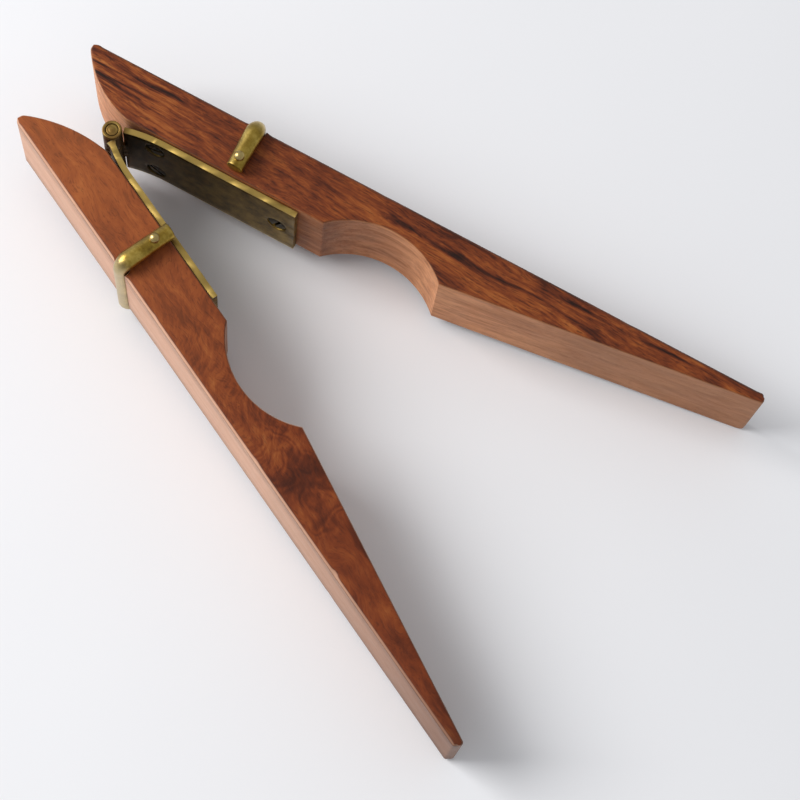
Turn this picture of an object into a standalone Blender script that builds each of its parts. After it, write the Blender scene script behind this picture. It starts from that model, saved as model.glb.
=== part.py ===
"""Hinged wooden nutcracker with brass fittings.

Two mirrored hardwood levers lie on their sides, joined near one end by a brass
hinge whose pin stands upright. Each lever carries a brass leaf on its inner face,
held by three countersunk screws, and a round brass yoke bent round its outer edge
and riveted through the wood. Units are metres, +Z up, and the levers open towards
+X. Each lever is drawn in its own plan frame: u runs from the hinge pin to the grip
tip, and v runs outwards from the plane in which the two levers mirror each other.
"""
import math

import bmesh
import bpy
from mathutils import Vector

MM = 0.001

# Driving dimensions: levers.
OPEN_ANGLE = math.radians(26.7)
LEVER_THICKNESS = 25.0 * MM
LEVER_WIDTH = 15.2 * MM
SEAT_OFFSET = 4.4 * MM
TAIL_LENGTH = 17.6 * MM
TAIL_CORNER_U = 2.6 * MM
TAIL_RADIUS = 30.0 * MM
TAIL_NOSE_RADIUS = 1.3 * MM
LAND_LENGTH = 7.3 * MM
NOTCH_WIDTH = 34.3 * MM
NOTCH_DEPTH = 7.0 * MM
GRIP_LENGTH = 88.8 * MM
TIP_WIDTH = 2.5 * MM
TIP_SLANT = 1.5 * MM
TIP_RADIUS = 0.8 * MM
EDGE_EASE = 0.45 * MM

# Driving dimensions: hinge.
LEAF_LENGTH = 53.5 * MM
LEAF_THICKNESS = 1.6 * MM
LEAF_MARGIN = 1.05 * MM
BARREL_MARGIN = 0.1 * MM
LEAF_BEND_END_U = 14.2 * MM
LEAF_BEND_RADIUS = 46.0 * MM
KNUCKLE_RADIUS = 2.6 * MM
PIN_RADIUS = 1.55 * MM
PIN_CHAMFER = 0.25 * MM

# Driving dimensions: leaf screws.
NEAR_SCREW_U = 11.3 * MM
NEAR_SCREW_EDGE = 4.75 * MM
END_SCREW_SETBACK = 5.3 * MM
SCREW_HEAD_RADIUS = 2.7 * MM
SCREW_RIM = 0.2 * MM
SCREW_SHANK_RADIUS = 1.4 * MM
SCREW_CORE_RADIUS = 1.0 * MM
SCREW_LENGTH = 12.5 * MM
SCREW_THREAD_START = 4.0 * MM
SCREW_PITCH = 1.3 * MM
SCREW_TIP_LENGTH = 2.0 * MM
SCREW_SINK = 0.1 * MM
SLOT_WIDTH = 0.8 * MM
SLOT_DEPTH = 0.7 * MM

# Driving dimensions: yokes and their rivets.
YOKE_U = 32.6 * MM
YOKE_RADIUS = 2.05 * MM
YOKE_BEND_RADIUS = 2.7 * MM
YOKE_BAR_SINK = 0.5 * MM
YOKE_CHAMFER = 0.4 * MM
YOKE_END_V = {"left": 3.2 * MM, "right": 5.4 * MM}
RIVET_V = 8.3 * MM
RIVET_RADIUS = 1.0 * MM
RIVET_HEAD_RADIUS = 1.35 * MM
RIVET_HEAD_HEIGHT = 1.2 * MM

# Clearances between neighbouring pieces.
REST_GAP = 0.3 * MM
PIN_CLEARANCE = 0.2 * MM
KNUCKLE_CLEARANCE = 0.3 * MM
LEAF_CUTBACK = 0.5 * MM
SCREW_CLEARANCE = 0.2 * MM
RIVET_CLEARANCE = 0.2 * MM
GROOVE_CLEARANCE = 0.25 * MM
CUT_OVERRUN = 1.0 * MM

# Sizes that follow from the driving ones.
HALF_THICKNESS = LEVER_THICKNESS / 2
OUTER_V = SEAT_OFFSET + LEVER_WIDTH
LEAF_BACK_V = SEAT_OFFSET - REST_GAP
LEAF_FRONT_V = LEAF_BACK_V - LEAF_THICKNESS
LEAF_HEIGHT = LEVER_THICKNESS - 2 * LEAF_MARGIN
BARREL_HEIGHT = LEVER_THICKNESS - 2 * BARREL_MARGIN
KNUCKLE_LENGTH = (BARREL_HEIGHT - 2 * KNUCKLE_CLEARANCE) / 3
NOTCH_START_U = LEAF_LENGTH + LAND_LENGTH
NOTCH_END_U = NOTCH_START_U + NOTCH_WIDTH
TIP_U = NOTCH_END_U + GRIP_LENGTH
YOKE_LEG_Z = HALF_THICKNESS + REST_GAP + YOKE_RADIUS
YOKE_BAR_V = OUTER_V - YOKE_BAR_SINK
RIVET_HEAD_Z = YOKE_LEG_Z + YOKE_RADIUS + REST_GAP
SIDES = {"left": -1, "right": 1}

# Facets of the round shapes.
ROUND_FACETS = 32
SMALL_FACETS = 20
THREAD_FACETS = 12
THREAD_ROWS_PER_TURN = 4
ARC_STEP = math.radians(4.5)
YOKE_BEND_STEP = math.radians(11.25)

WOOD_REDDISH = ("reddish_rosewood", (0.36, 0.13, 0.055), 0.45, 0.0)
WOOD_STRIPED = ("striped_rosewood", (0.25, 0.085, 0.035), 0.4, 0.0)
BRASS_LEAF = ("aged_brass_leaf", (0.45, 0.36, 0.15), 0.38, 1.0)
BRASS_ROD = ("golden_brass_rod", (0.62, 0.47, 0.16), 0.3, 1.0)
BRASS_SCREW = ("tarnished_brass_screw", (0.33, 0.27, 0.13), 0.45, 1.0)


def clear_scene():
    """Remove every object that the file opened with."""
    for old in list(bpy.data.objects):
        bpy.data.objects.remove(old, do_unlink=True)


def material(settings):
    """Return a Principled material with a name, colour, roughness and metallic value."""
    name, colour, roughness, metallic = settings
    found = bpy.data.materials.get(name)
    if found:
        return found
    made = bpy.data.materials.new(name)
    made.use_nodes = True
    shader = made.node_tree.nodes["Principled BSDF"]
    shader.inputs["Base Color"].default_value = (*colour, 1.0)
    shader.inputs["Roughness"].default_value = roughness
    shader.inputs["Metallic"].default_value = metallic
    return made


def mesh_object(name, bm, settings, parent=None):
    """Turn a bmesh into a named object on a parent, with outward faces and crisp edges."""
    bmesh.ops.remove_doubles(bm, verts=bm.verts, dist=1e-7)
    bmesh.ops.recalc_face_normals(bm, faces=bm.faces)
    mesh = bpy.data.meshes.new(name)
    bm.to_mesh(mesh)
    bm.free()
    mesh.shade_smooth()
    mesh.set_sharp_from_angle(angle=math.radians(30))
    made = bpy.data.objects.new(name, mesh)
    bpy.context.collection.objects.link(made)
    if settings:
        made.data.materials.append(material(settings))
    made.parent = parent
    return made


def cut(target, name, bm):
    """Subtract a bmesh from a target object with a Boolean modifier."""
    cutter = mesh_object(name, bm, None, target.parent)
    cutter.hide_render = True
    cutter.display_type = "WIRE"
    step = target.modifiers.new(name, "BOOLEAN")
    step.operation = "DIFFERENCE"
    step.solver = "EXACT"
    step.object = cutter


def arc_points(centre, radius, start, end, step=ARC_STEP):
    """Points along an arc, both ends included, no coarser than the step."""
    count = max(2, math.ceil(abs(end - start) / step))
    angles = [start + (end - start) * i / count for i in range(count + 1)]
    return [(centre[0] + radius * math.cos(a), centre[1] + radius * math.sin(a)) for a in angles]


def rounded_corner(before, corner, after, radius):
    """Points of the arc that rounds the corner between two straight lines."""
    back = (Vector(before) - Vector(corner)).normalized()
    ahead = (Vector(after) - Vector(corner)).normalized()
    half_angle = back.angle(ahead) / 2
    centre = Vector(corner) + (back + ahead).normalized() * radius / math.sin(half_angle)
    start = Vector(corner) + back * radius / math.tan(half_angle) - centre
    end = Vector(corner) + ahead * radius / math.tan(half_angle) - centre
    turn = start.angle_signed(end)
    first = math.atan2(start.y, start.x)
    return arc_points(centre, radius, first, first - turn)


def tail_outline():
    """The lever's tail, from the nose on its outer edge round to the seat's corner.

    The tail is one arc through the seat's corner and the outer edge, and a small
    nose arc that touches both that arc and the outer edge.
    """
    corner = Vector((TAIL_CORNER_U, SEAT_OFFSET))
    heel = Vector((-TAIL_LENGTH, OUTER_V))
    chord = heel - corner
    rise = math.sqrt(TAIL_RADIUS ** 2 - (chord.length / 2) ** 2)
    centre = (corner + heel) / 2 + Vector((chord.y, -chord.x)).normalized() * rise
    nose_v = OUTER_V - TAIL_NOSE_RADIUS
    reach = TAIL_RADIUS - TAIL_NOSE_RADIUS
    nose_u = centre.x - math.sqrt(reach ** 2 - (centre.y - nose_v) ** 2)
    touch = math.atan2(nose_v - centre.y, nose_u - centre.x)
    finish = math.atan2(corner.y - centre.y, corner.x - centre.x)
    nose = arc_points((nose_u, nose_v), TAIL_NOSE_RADIUS, math.pi / 2, touch + 2 * math.pi)
    sweep = arc_points(centre, TAIL_RADIUS, touch, finish)
    return nose + sweep[1:]


def notch_outline():
    """The round notch between the seat's land and the grip, from its start to its end."""
    half = NOTCH_WIDTH / 2
    radius = (half ** 2 + NOTCH_DEPTH ** 2) / (2 * NOTCH_DEPTH)
    centre = (NOTCH_START_U + half, SEAT_OFFSET + NOTCH_DEPTH - radius)
    spread = math.asin(half / radius)
    return arc_points(centre, radius, math.pi / 2 + spread, math.pi / 2 - spread)


def lever_outline():
    """The lever's plan outline in u and v, anticlockwise from the tail's nose."""
    peak = (NOTCH_END_U, SEAT_OFFSET)
    inner_tip = (TIP_U, OUTER_V - TIP_WIDTH)
    outer_tip = (TIP_U - TIP_SLANT, OUTER_V)
    heel = (-TAIL_LENGTH, OUTER_V)
    tip = rounded_corner(peak, inner_tip, outer_tip, TIP_RADIUS)
    tip += rounded_corner(inner_tip, outer_tip, heel, TIP_RADIUS)
    return tail_outline() + notch_outline() + tip


def prism(bm, outline, side, low, high):
    """Extrude a plan outline from low to high, mirrored to its side. Return its faces."""
    verts = [bm.verts.new((u, side * v, low)) for u, v in outline]
    base = bm.faces.new(verts)
    grown = bmesh.ops.extrude_face_region(bm, geom=[base])["geom"]
    top = [item for item in grown if isinstance(item, bmesh.types.BMVert)]
    bmesh.ops.translate(bm, verts=top, vec=(0, 0, high - low))


def turned(bm, profile, facets, place):
    """Close a turned solid from a list of (height, radius) pairs, and move it to its place.

    A radius of 0 at either end gives a point, and any other radius a flat end.
    """
    rings = []
    for height, radius in profile:
        if radius == 0:
            rings.append([bm.verts.new(place((0, 0, height)))])
            continue
        ring = []
        for i in range(facets):
            angle = 2 * math.pi * i / facets
            ring.append(bm.verts.new(place((radius * math.cos(angle), radius * math.sin(angle), height))))
        rings.append(ring)
    join_rings(bm, rings)


def join_rings(bm, rings):
    """Bridge rings of equal count one to the next, and close both ends."""
    for lower, upper in zip(rings, rings[1:]):
        count = max(len(lower), len(upper))
        for i in range(count):
            corners = [lower[i % len(lower)], lower[(i + 1) % len(lower)]]
            corners += [upper[(i + 1) % len(upper)], upper[i % len(upper)]]
            bm.faces.new(dict.fromkeys(corners))
    for end in (rings[0], rings[-1]):
        if len(end) > 2:
            bm.faces.new(end)


def upright(u, v, side):
    """A place function for a turned solid whose axis is parallel to the hinge pin."""
    return lambda p: (u + p[0], side * v + p[1], p[2])


def inward(u, v, z, side):
    """A place function for a turned solid whose height runs outwards along v from (u, v, z)."""
    return lambda p: (u + p[0], side * (v + p[2]), z + p[1])


def screw_places():
    """The name, u, z and slot angle of each of a leaf's screws."""
    end_u = LEAF_LENGTH - END_SCREW_SETBACK
    near_z = LEAF_HEIGHT / 2 - NEAR_SCREW_EDGE
    return (("upper_leaf_screw", NEAR_SCREW_U, near_z, math.radians(20)),
            ("lower_leaf_screw", NEAR_SCREW_U, -near_z, math.radians(-35)),
            ("end_leaf_screw", end_u, 0.0, math.radians(65)))


def leaf_front_v(u):
    """The distance of the leaf's front face from the mirror plane at u."""
    if u >= LEAF_BEND_END_U:
        return LEAF_FRONT_V
    return LEAF_FRONT_V - LEAF_BEND_RADIUS + math.sqrt(LEAF_BEND_RADIUS ** 2 - (LEAF_BEND_END_U - u) ** 2)


def screw_face_v(u):
    """The distance of a screw head's flat face from the mirror plane at u."""
    return leaf_front_v(u) + SCREW_SINK


def screw_head_profile(grow):
    """A countersunk head from its flat face to its shank, grown by a clearance."""
    cone = SCREW_HEAD_RADIUS - SCREW_SHANK_RADIUS
    head = SCREW_HEAD_RADIUS + grow
    shank = SCREW_SHANK_RADIUS + grow
    return [(SCREW_RIM, head), (SCREW_RIM + cone, shank)]


def screw_hole_profile():
    """The space a screw takes in the leaf and the wood, with its clearance all round."""
    head = screw_head_profile(SCREW_CLEARANCE)
    depth = SCREW_LENGTH + REST_GAP
    return [(-CUT_OVERRUN, head[0][1])] + head + [(depth, head[-1][1])]


def yoke_bends():
    """The yoke's centre line in v and z round both bends, with the turn made so far."""
    bend_v = YOKE_BAR_V - YOKE_BEND_RADIUS
    bend_z = YOKE_LEG_Z - YOKE_BEND_RADIUS
    right_angle = math.pi / 2
    lower = arc_points((bend_v, -bend_z), YOKE_BEND_RADIUS, -right_angle, 0.0, YOKE_BEND_STEP)
    upper = arc_points((bend_v, bend_z), YOKE_BEND_RADIUS, 0.0, right_angle, YOKE_BEND_STEP)
    turns = [right_angle * i / (len(lower) - 1) for i in range(len(lower))]
    path = [(v, z, turn) for (v, z), turn in zip(lower, turns)]
    path += [(v, z, right_angle + turn) for (v, z), turn in zip(upper, turns)]
    return path


def rod(bm, path, radii, side):
    """Sweep a round rod along a path of (v, z, turn) points at the yoke's place."""
    rings = []
    for (v, z, turn), radius in zip(path, radii):
        ring = []
        for i in range(SMALL_FACETS):
            angle = 2 * math.pi * i / SMALL_FACETS
            across = radius * math.sin(angle)
            at_v = v - across * math.sin(turn)
            at_z = z + across * math.cos(turn)
            ring.append(bm.verts.new((YOKE_U + radius * math.cos(angle), side * at_v, at_z)))
        rings.append(ring)
    join_rings(bm, rings)


def build_lever(side_name, parent, wood):
    """One wooden lever, with its pilot holes, its rivet hole and the groove for its yoke."""
    side = SIDES[side_name]
    bm = bmesh.new()
    prism(bm, lever_outline(), side, -HALF_THICKNESS, HALF_THICKNESS)
    rim = [e for e in bm.edges if abs(e.verts[0].co.z - e.verts[1].co.z) < 1e-6]
    bmesh.ops.bevel(bm, geom=rim, offset=EDGE_EASE, segments=1, profile=0.5, affect="EDGES")
    lever = mesh_object(side_name + "_lever", bm, wood, parent)
    holes = bmesh.new()
    for _, u, z, _ in screw_places():
        turned(holes, screw_hole_profile(), SMALL_FACETS, inward(u, screw_face_v(u), z, side))
    reach = HALF_THICKNESS + CUT_OVERRUN
    bore = RIVET_RADIUS + RIVET_CLEARANCE
    turned(holes, [(-reach, bore), (reach, bore)], SMALL_FACETS, upright(YOKE_U, RIVET_V, side))
    cut(lever, side_name + "_lever_holes", holes)
    groove = bmesh.new()
    bends = yoke_bends()
    rod(groove, bends, [YOKE_RADIUS + GROOVE_CLEARANCE] * len(bends), side)
    cut(lever, side_name + "_lever_groove", groove)


def build_leaf(side_name, parent):
    """One brass leaf: a flat strap that bends in to its knuckles at the pin."""
    side = SIDES[side_name]
    steps = 10
    bend = [LEAF_BEND_END_U * (i / steps) for i in range(steps + 1)]
    front = [(u, leaf_front_v(u)) for u in bend] + [(LEAF_LENGTH, LEAF_FRONT_V)]
    back = [(u, v + LEAF_THICKNESS) for u, v in front]
    bm = bmesh.new()
    prism(bm, front + back[::-1], side, -LEAF_HEIGHT / 2, LEAF_HEIGHT / 2)
    leaf = mesh_object(side_name + "_hinge_leaf", bm, BRASS_LEAF, parent)

    own = KNUCKLE_RADIUS + REST_GAP
    other = KNUCKLE_RADIUS + LEAF_CUTBACK
    middle = KNUCKLE_LENGTH / 2 + KNUCKLE_CLEARANCE
    reach = LEAF_HEIGHT / 2 + CUT_OVERRUN
    outer_radius, middle_radius = (own, other) if side_name == "left" else (other, own)
    if side_name == "right":
        middle = KNUCKLE_LENGTH / 2
    profile = [(-reach, outer_radius), (-middle, outer_radius), (-middle, middle_radius)]
    profile += [(middle, middle_radius), (middle, outer_radius), (reach, outer_radius)]
    barrel = bmesh.new()
    turned(barrel, profile, ROUND_FACETS, upright(0, 0, side))
    cut(leaf, side_name + "_leaf_barrel_cut", barrel)

    sinks = bmesh.new()
    for _, u, z, _ in screw_places():
        turned(sinks, screw_hole_profile(), SMALL_FACETS, inward(u, screw_face_v(u), z, side))
    cut(leaf, side_name + "_leaf_screw_holes", sinks)


def build_knuckle(name, parent, centre_z):
    """One short brass tube of the hinge barrel."""
    bore = PIN_RADIUS + PIN_CLEARANCE
    low = centre_z - KNUCKLE_LENGTH / 2
    high = centre_z + KNUCKLE_LENGTH / 2
    bm = bmesh.new()
    rings = []
    for radius, height in ((KNUCKLE_RADIUS, low), (KNUCKLE_RADIUS, high), (bore, high), (bore, low)):
        ring = []
        for i in range(ROUND_FACETS):
            angle = 2 * math.pi * i / ROUND_FACETS
            ring.append(bm.verts.new((radius * math.cos(angle), radius * math.sin(angle), height)))
        rings.append(ring)
    for here, there in zip(rings, rings[1:] + rings[:1]):
        for i in range(ROUND_FACETS):
            j = (i + 1) % ROUND_FACETS
            bm.faces.new((here[i], here[j], there[j], there[i]))
    mesh_object(name, bm, BRASS_LEAF, parent)


def build_pin(parent):
    """The hinge pin, flush with the barrel's ends."""
    half = BARREL_HEIGHT / 2
    small = PIN_RADIUS - PIN_CHAMFER
    profile = [(-half, small), (-half + PIN_CHAMFER, PIN_RADIUS)]
    profile += [(half - PIN_CHAMFER, PIN_RADIUS), (half, small)]
    bm = bmesh.new()
    turned(bm, profile, ROUND_FACETS, upright(0, 0, 1))
    mesh_object("hinge_pin", bm, BRASS_LEAF, parent)


def thread_ring(height, place, bm):
    """One ring of the screw's thread: a helical ridge that fades out at both ends."""
    start = SCREW_THREAD_START
    end = SCREW_LENGTH - SCREW_TIP_LENGTH
    fade = min(1.0, (height - start) / SCREW_PITCH, (end - height) / SCREW_PITCH)
    ridge_height = (SCREW_SHANK_RADIUS - SCREW_CORE_RADIUS) * max(0.0, fade)
    ring = []
    for i in range(THREAD_FACETS):
        angle = 2 * math.pi * i / THREAD_FACETS
        phase = ((height - start) / SCREW_PITCH - i / THREAD_FACETS) % 1.0
        ridge = 1.0 - abs(2.0 * phase - 1.0)
        radius = SCREW_CORE_RADIUS + ridge_height * ridge
        ring.append(bm.verts.new(place((radius * math.cos(angle), radius * math.sin(angle), height))))
    return ring


def build_screw(name, parent, u, z, slot_angle, side):
    """One slotted countersunk wood screw, its head's face at the leaf's front."""
    place = inward(u, screw_face_v(u), z, side)
    head = screw_head_profile(0.0)
    profile = [(0.0, SCREW_HEAD_RADIUS - SCREW_RIM)] + head
    profile += [(SCREW_THREAD_START - SCREW_PITCH / 2, SCREW_SHANK_RADIUS)]
    bm = bmesh.new()
    rings = []
    for height, radius in profile:
        ring = []
        for i in range(THREAD_FACETS):
            angle = 2 * math.pi * i / THREAD_FACETS
            ring.append(bm.verts.new(place((radius * math.cos(angle), radius * math.sin(angle), height))))
        rings.append(ring)
    thread_end = SCREW_LENGTH - SCREW_TIP_LENGTH
    rows = round((thread_end - SCREW_THREAD_START) / SCREW_PITCH * THREAD_ROWS_PER_TURN)
    for row in range(rows + 1):
        height = SCREW_THREAD_START + (thread_end - SCREW_THREAD_START) * row / rows
        rings.append(thread_ring(height, place, bm))
    rings.append([bm.verts.new(place((0, 0, SCREW_LENGTH)))])
    join_rings(bm, rings)
    screw = mesh_object(name, bm, BRASS_SCREW, parent)

    slot = bmesh.new()
    bmesh.ops.create_cube(slot, size=1.0)
    for vert in slot.verts:
        along = vert.co.x * 2 * (SCREW_HEAD_RADIUS + CUT_OVERRUN)
        across = vert.co.y * SLOT_WIDTH
        depth = SLOT_DEPTH if vert.co.z > 0 else -CUT_OVERRUN
        x = along * math.cos(slot_angle) - across * math.sin(slot_angle)
        y = along * math.sin(slot_angle) + across * math.cos(slot_angle)
        vert.co = place((x, y, depth))
    cut(screw, name + "_slot", slot)


def build_yoke(side_name, parent):
    """One round rod bent round the lever's outer edge, with a rivet hole in each leg."""
    side = SIDES[side_name]
    end_v = YOKE_END_V[side_name]
    path = [(end_v, -YOKE_LEG_Z, 0.0), (end_v + YOKE_CHAMFER, -YOKE_LEG_Z, 0.0)]
    path += yoke_bends()
    path += [(end_v + YOKE_CHAMFER, YOKE_LEG_Z, math.pi), (end_v, YOKE_LEG_Z, math.pi)]
    end_radius = YOKE_RADIUS - YOKE_CHAMFER
    radii = [end_radius] + [YOKE_RADIUS] * (len(path) - 2) + [end_radius]
    bm = bmesh.new()
    rod(bm, path, radii, side)
    yoke = mesh_object(side_name + "_yoke", bm, BRASS_ROD, parent)
    hole = bmesh.new()
    reach = YOKE_LEG_Z + YOKE_RADIUS + CUT_OVERRUN
    bore = RIVET_RADIUS + RIVET_CLEARANCE
    turned(hole, [(-reach, bore), (reach, bore)], SMALL_FACETS, upright(YOKE_U, RIVET_V, side))
    cut(yoke, side_name + "_yoke_rivet_holes", hole)


def build_rivet(side_name, parent):
    """The rivet through both legs of a yoke and the lever between them."""
    dome = [(RIVET_HEAD_Z, RIVET_RADIUS), (RIVET_HEAD_Z, RIVET_HEAD_RADIUS)]
    steps = 4
    for i in range(1, steps + 1):
        angle = math.pi / 2 * i / steps
        radius = RIVET_HEAD_RADIUS * math.cos(angle) if i < steps else 0
        dome.append((RIVET_HEAD_Z + RIVET_HEAD_HEIGHT * math.sin(angle), radius))
    profile = [(-height, radius) for height, radius in dome[::-1]] + dome
    bm = bmesh.new()
    turned(bm, profile, SMALL_FACETS, upright(YOKE_U, RIVET_V, SIDES[side_name]))
    mesh_object(side_name + "_yoke_rivet", bm, BRASS_ROD, parent)


def hinge_place():
    """Where the pin stands, so that the whole object's box is centred over the origin."""
    outline = lever_outline()
    half = OPEN_ANGLE / 2
    along = [u * math.cos(half) - v * math.sin(half) for u, v in outline]
    return (-(min(along) + max(along)) / 2, 0.0, RIVET_HEAD_Z + RIVET_HEAD_HEIGHT)


def pivot(name, turn):
    """An empty on the hinge axis that carries everything on one side."""
    made = bpy.data.objects.new(name, None)
    bpy.context.collection.objects.link(made)
    made.location = hinge_place()
    made.rotation_euler = (0.0, 0.0, turn)
    return made


def build_side(side_name, wood):
    """One side of the nutcracker: lever, leaf, screws, yoke and rivet. Return its pivot."""
    side = SIDES[side_name]
    parent = pivot(side_name + "_side_pivot", side * OPEN_ANGLE / 2)
    build_lever(side_name, parent, wood)
    build_leaf(side_name, parent)
    for name, u, z, slot_angle in screw_places():
        build_screw(side_name + "_" + name, parent, u, z, slot_angle, side)
    build_yoke(side_name, parent)
    build_rivet(side_name, parent)
    return parent


def build():
    """The whole nutcracker."""
    clear_scene()
    left = build_side("left", WOOD_REDDISH)
    right = build_side("right", WOOD_STRIPED)
    step = KNUCKLE_LENGTH + KNUCKLE_CLEARANCE
    build_knuckle("left_upper_knuckle", left, step)
    build_knuckle("left_lower_knuckle", left, -step)
    build_knuckle("right_middle_knuckle", right, 0.0)
    build_pin(left)


build()
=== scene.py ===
# %% [markdown]
# # A wooden nutcracker with a brass hinge
# Two rosewood levers lie open on a pale table. A brass leaf is screwed to the inner
# face of each, a pin joins the leaves, and a bent brass rod, the yoke, clasps each
# lever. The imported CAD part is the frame: it fixes every size and every joint. This
# lesson builds finer surfaces over it and gives them wood grain and aged brass.

# %% Load the CAD part
import math

import bmesh
import bpy
import numpy as np
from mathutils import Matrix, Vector


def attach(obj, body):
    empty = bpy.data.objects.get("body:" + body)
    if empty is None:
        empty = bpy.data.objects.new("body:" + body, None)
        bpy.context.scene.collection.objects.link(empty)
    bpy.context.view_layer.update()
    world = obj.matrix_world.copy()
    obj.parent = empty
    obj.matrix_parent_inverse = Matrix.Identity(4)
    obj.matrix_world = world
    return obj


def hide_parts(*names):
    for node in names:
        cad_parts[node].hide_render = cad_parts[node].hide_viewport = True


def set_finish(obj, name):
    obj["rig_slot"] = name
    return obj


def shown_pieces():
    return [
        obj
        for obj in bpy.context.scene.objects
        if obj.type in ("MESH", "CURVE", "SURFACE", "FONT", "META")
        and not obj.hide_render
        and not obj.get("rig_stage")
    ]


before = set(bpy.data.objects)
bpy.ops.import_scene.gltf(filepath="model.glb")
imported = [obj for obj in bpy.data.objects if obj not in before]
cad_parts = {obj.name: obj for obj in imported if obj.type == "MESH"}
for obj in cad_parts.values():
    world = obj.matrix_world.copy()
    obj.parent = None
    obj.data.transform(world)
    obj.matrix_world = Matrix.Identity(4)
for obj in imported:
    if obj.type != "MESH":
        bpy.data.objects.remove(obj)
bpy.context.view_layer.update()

# %% [markdown]
# ## The drawing frame
# Each lever is drawn flat, as a joiner would: u runs from the hinge pin to the grip's
# tip, v runs outwards from the middle line between the levers, and z is up. All sizes
# are in millimetres. One function then swings the drawing to its side of the hinge,
# so that both levers share one set of sizes. The alternative, a parent empty for each
# side, would leave the pieces turned, and a pattern on Object coordinates would turn
# with them.

# %% Sizes and sides
MM = 0.001
HINGE = np.array([-76.962, 0.0, 18.4])
HALF_OPENING = math.radians(13.35)
SIDES = {"left": -1, "right": 1}


def placed(points, side):
    """Turn drawing points (u, v, z) about the pin and give them in metres.

    x is u times the cosine less v times the sine of the side's angle, y is u times the
    sine plus v times the cosine, with v and the angle negative on the left side.
    """
    angle = side * HALF_OPENING
    u, v, z = np.moveaxis(np.asarray(points, float), -1, 0)
    x = u * math.cos(angle) - side * v * math.sin(angle)
    y = u * math.sin(angle) + side * v * math.cos(angle)
    return (np.stack([x, y, z], axis=-1) + HINGE) * MM


print("the levers stand", round(math.degrees(2 * HALF_OPENING), 1), "degrees apart")

# %% [markdown]
# ## From a grid of points to a mesh
# A surface is an array of points with rows and columns. Four neighbours make a face,
# and a direction can be closed, like the way round a rod. Where rows shrink to a point,
# merging the doubled points leaves a clean pole. Normals are worked out last.

# %% Grid to mesh
def grid_faces(rows, columns, close_rows=False, close_columns=False):
    """Corner numbers of every face of a grid: each point with its next neighbours."""
    row = np.arange(rows if close_rows else rows - 1)
    column = np.arange(columns if close_columns else columns - 1)
    i, j = np.meshgrid(row, column, indexing="ij")
    next_i, next_j = (i + 1) % rows, (j + 1) % columns
    corners = [i * columns + j, i * columns + next_j, next_i * columns + next_j, next_i * columns + j]
    return np.stack(corners, axis=-1).reshape(-1, 4)


def mesh_piece(name, points, faces, sharp_angle=40.0, tones=None):
    """One mesh object from points and faces, its doubles merged and its faces outwards."""
    mesh = bpy.data.meshes.new(name)
    mesh.from_pydata(points.reshape(-1, 3), [], [list(face) for face in faces])
    for label, values in (tones or {}).items():
        tone = mesh.attributes.new(label, "FLOAT", "POINT")
        tone.data.foreach_set("value", values.ravel().astype(np.float32))
    shaped = bmesh.new()
    shaped.from_mesh(mesh)
    bmesh.ops.remove_doubles(shaped, verts=shaped.verts, dist=1e-6)
    bmesh.ops.dissolve_degenerate(shaped, edges=shaped.edges, dist=1e-7)
    bmesh.ops.recalc_face_normals(shaped, faces=shaped.faces)
    shaped.to_mesh(mesh)
    shaped.free()
    mesh.shade_smooth()
    mesh.set_sharp_from_angle(angle=math.radians(sharp_angle))
    piece = bpy.data.objects.new(name, mesh)
    bpy.context.collection.objects.link(piece)
    return piece


def with_caps(points, faces):
    """Add a flat face over the first and the last row of a grid that is closed around."""
    rows, columns = points.shape[:2]
    ends = [list(range(columns)), list(range((rows - 1) * columns, rows * columns))]
    return faces.tolist() + ends


def fit_to_part(piece, body, slot, nodes=()):
    """Let the piece ride on its body, stand for its CAD nodes and name its finish."""
    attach(piece, body)
    if nodes:
        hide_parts(*nodes)
    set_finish(piece, slot)
    print(piece.name, "has", len(piece.data.polygons), "faces")


print("a 3 by 4 grid has", len(grid_faces(3, 4)), "faces")

# %% [markdown]
# ## The camera and the floor
# The nutcracker is seen from high on its near side, with a long lens and a little roll.
# It lies on its side: the lower rivet heads and the grips' lower edges touch the table,
# so the table slopes by a couple of degrees against the frame.

# %% Camera
LOOK_AT = Vector((0.0261, -0.0007, 0.0184))
VIEW_TURN = math.radians(29.08)
VIEW_RISE = math.radians(72.49)
VIEW_DISTANCE = 0.5621
VIEW_ROLL = math.radians(13.07)

camera_data = bpy.data.cameras.new("long_lens")
camera_data.lens = 96.95
camera_data.sensor_width = 36.0
camera = bpy.data.objects.new("camera", camera_data)
bpy.context.collection.objects.link(camera)
level = math.cos(VIEW_RISE)
back = Vector((math.sin(VIEW_TURN) * level, -math.cos(VIEW_TURN) * level, math.sin(VIEW_RISE)))
aim = (-back).to_track_quat("-Z", "Y").to_matrix().to_4x4()
roll = aim.Rotation(VIEW_ROLL, 4, "Z")
camera.matrix_world = aim.Translation(LOOK_AT + back * VIEW_DISTANCE) @ aim @ roll
bpy.context.scene.camera = camera
print("the camera stands at", [round(c, 4) for c in camera.matrix_world.translation])

# %% Floor
FLOOR_SLOPE = 0.0410
FLOOR_TOUCH_X = -0.0466
FLOOR_REACH = 2.5

along = np.linspace(-FLOOR_REACH, FLOOR_REACH, 21)
floor_x, floor_y = np.meshgrid(along, along, indexing="ij")
floor_z = (floor_x - FLOOR_TOUCH_X) * FLOOR_SLOPE
floor = mesh_piece("floor", np.stack([floor_x, floor_y, floor_z], axis=-1), grid_faces(21, 21))
if floor.data.polygons[0].normal.z < 0:
    floor.data.flip_normals()
floor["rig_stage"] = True
print("floor slope in degrees:", round(math.degrees(math.atan(FLOOR_SLOPE)), 2))

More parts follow.
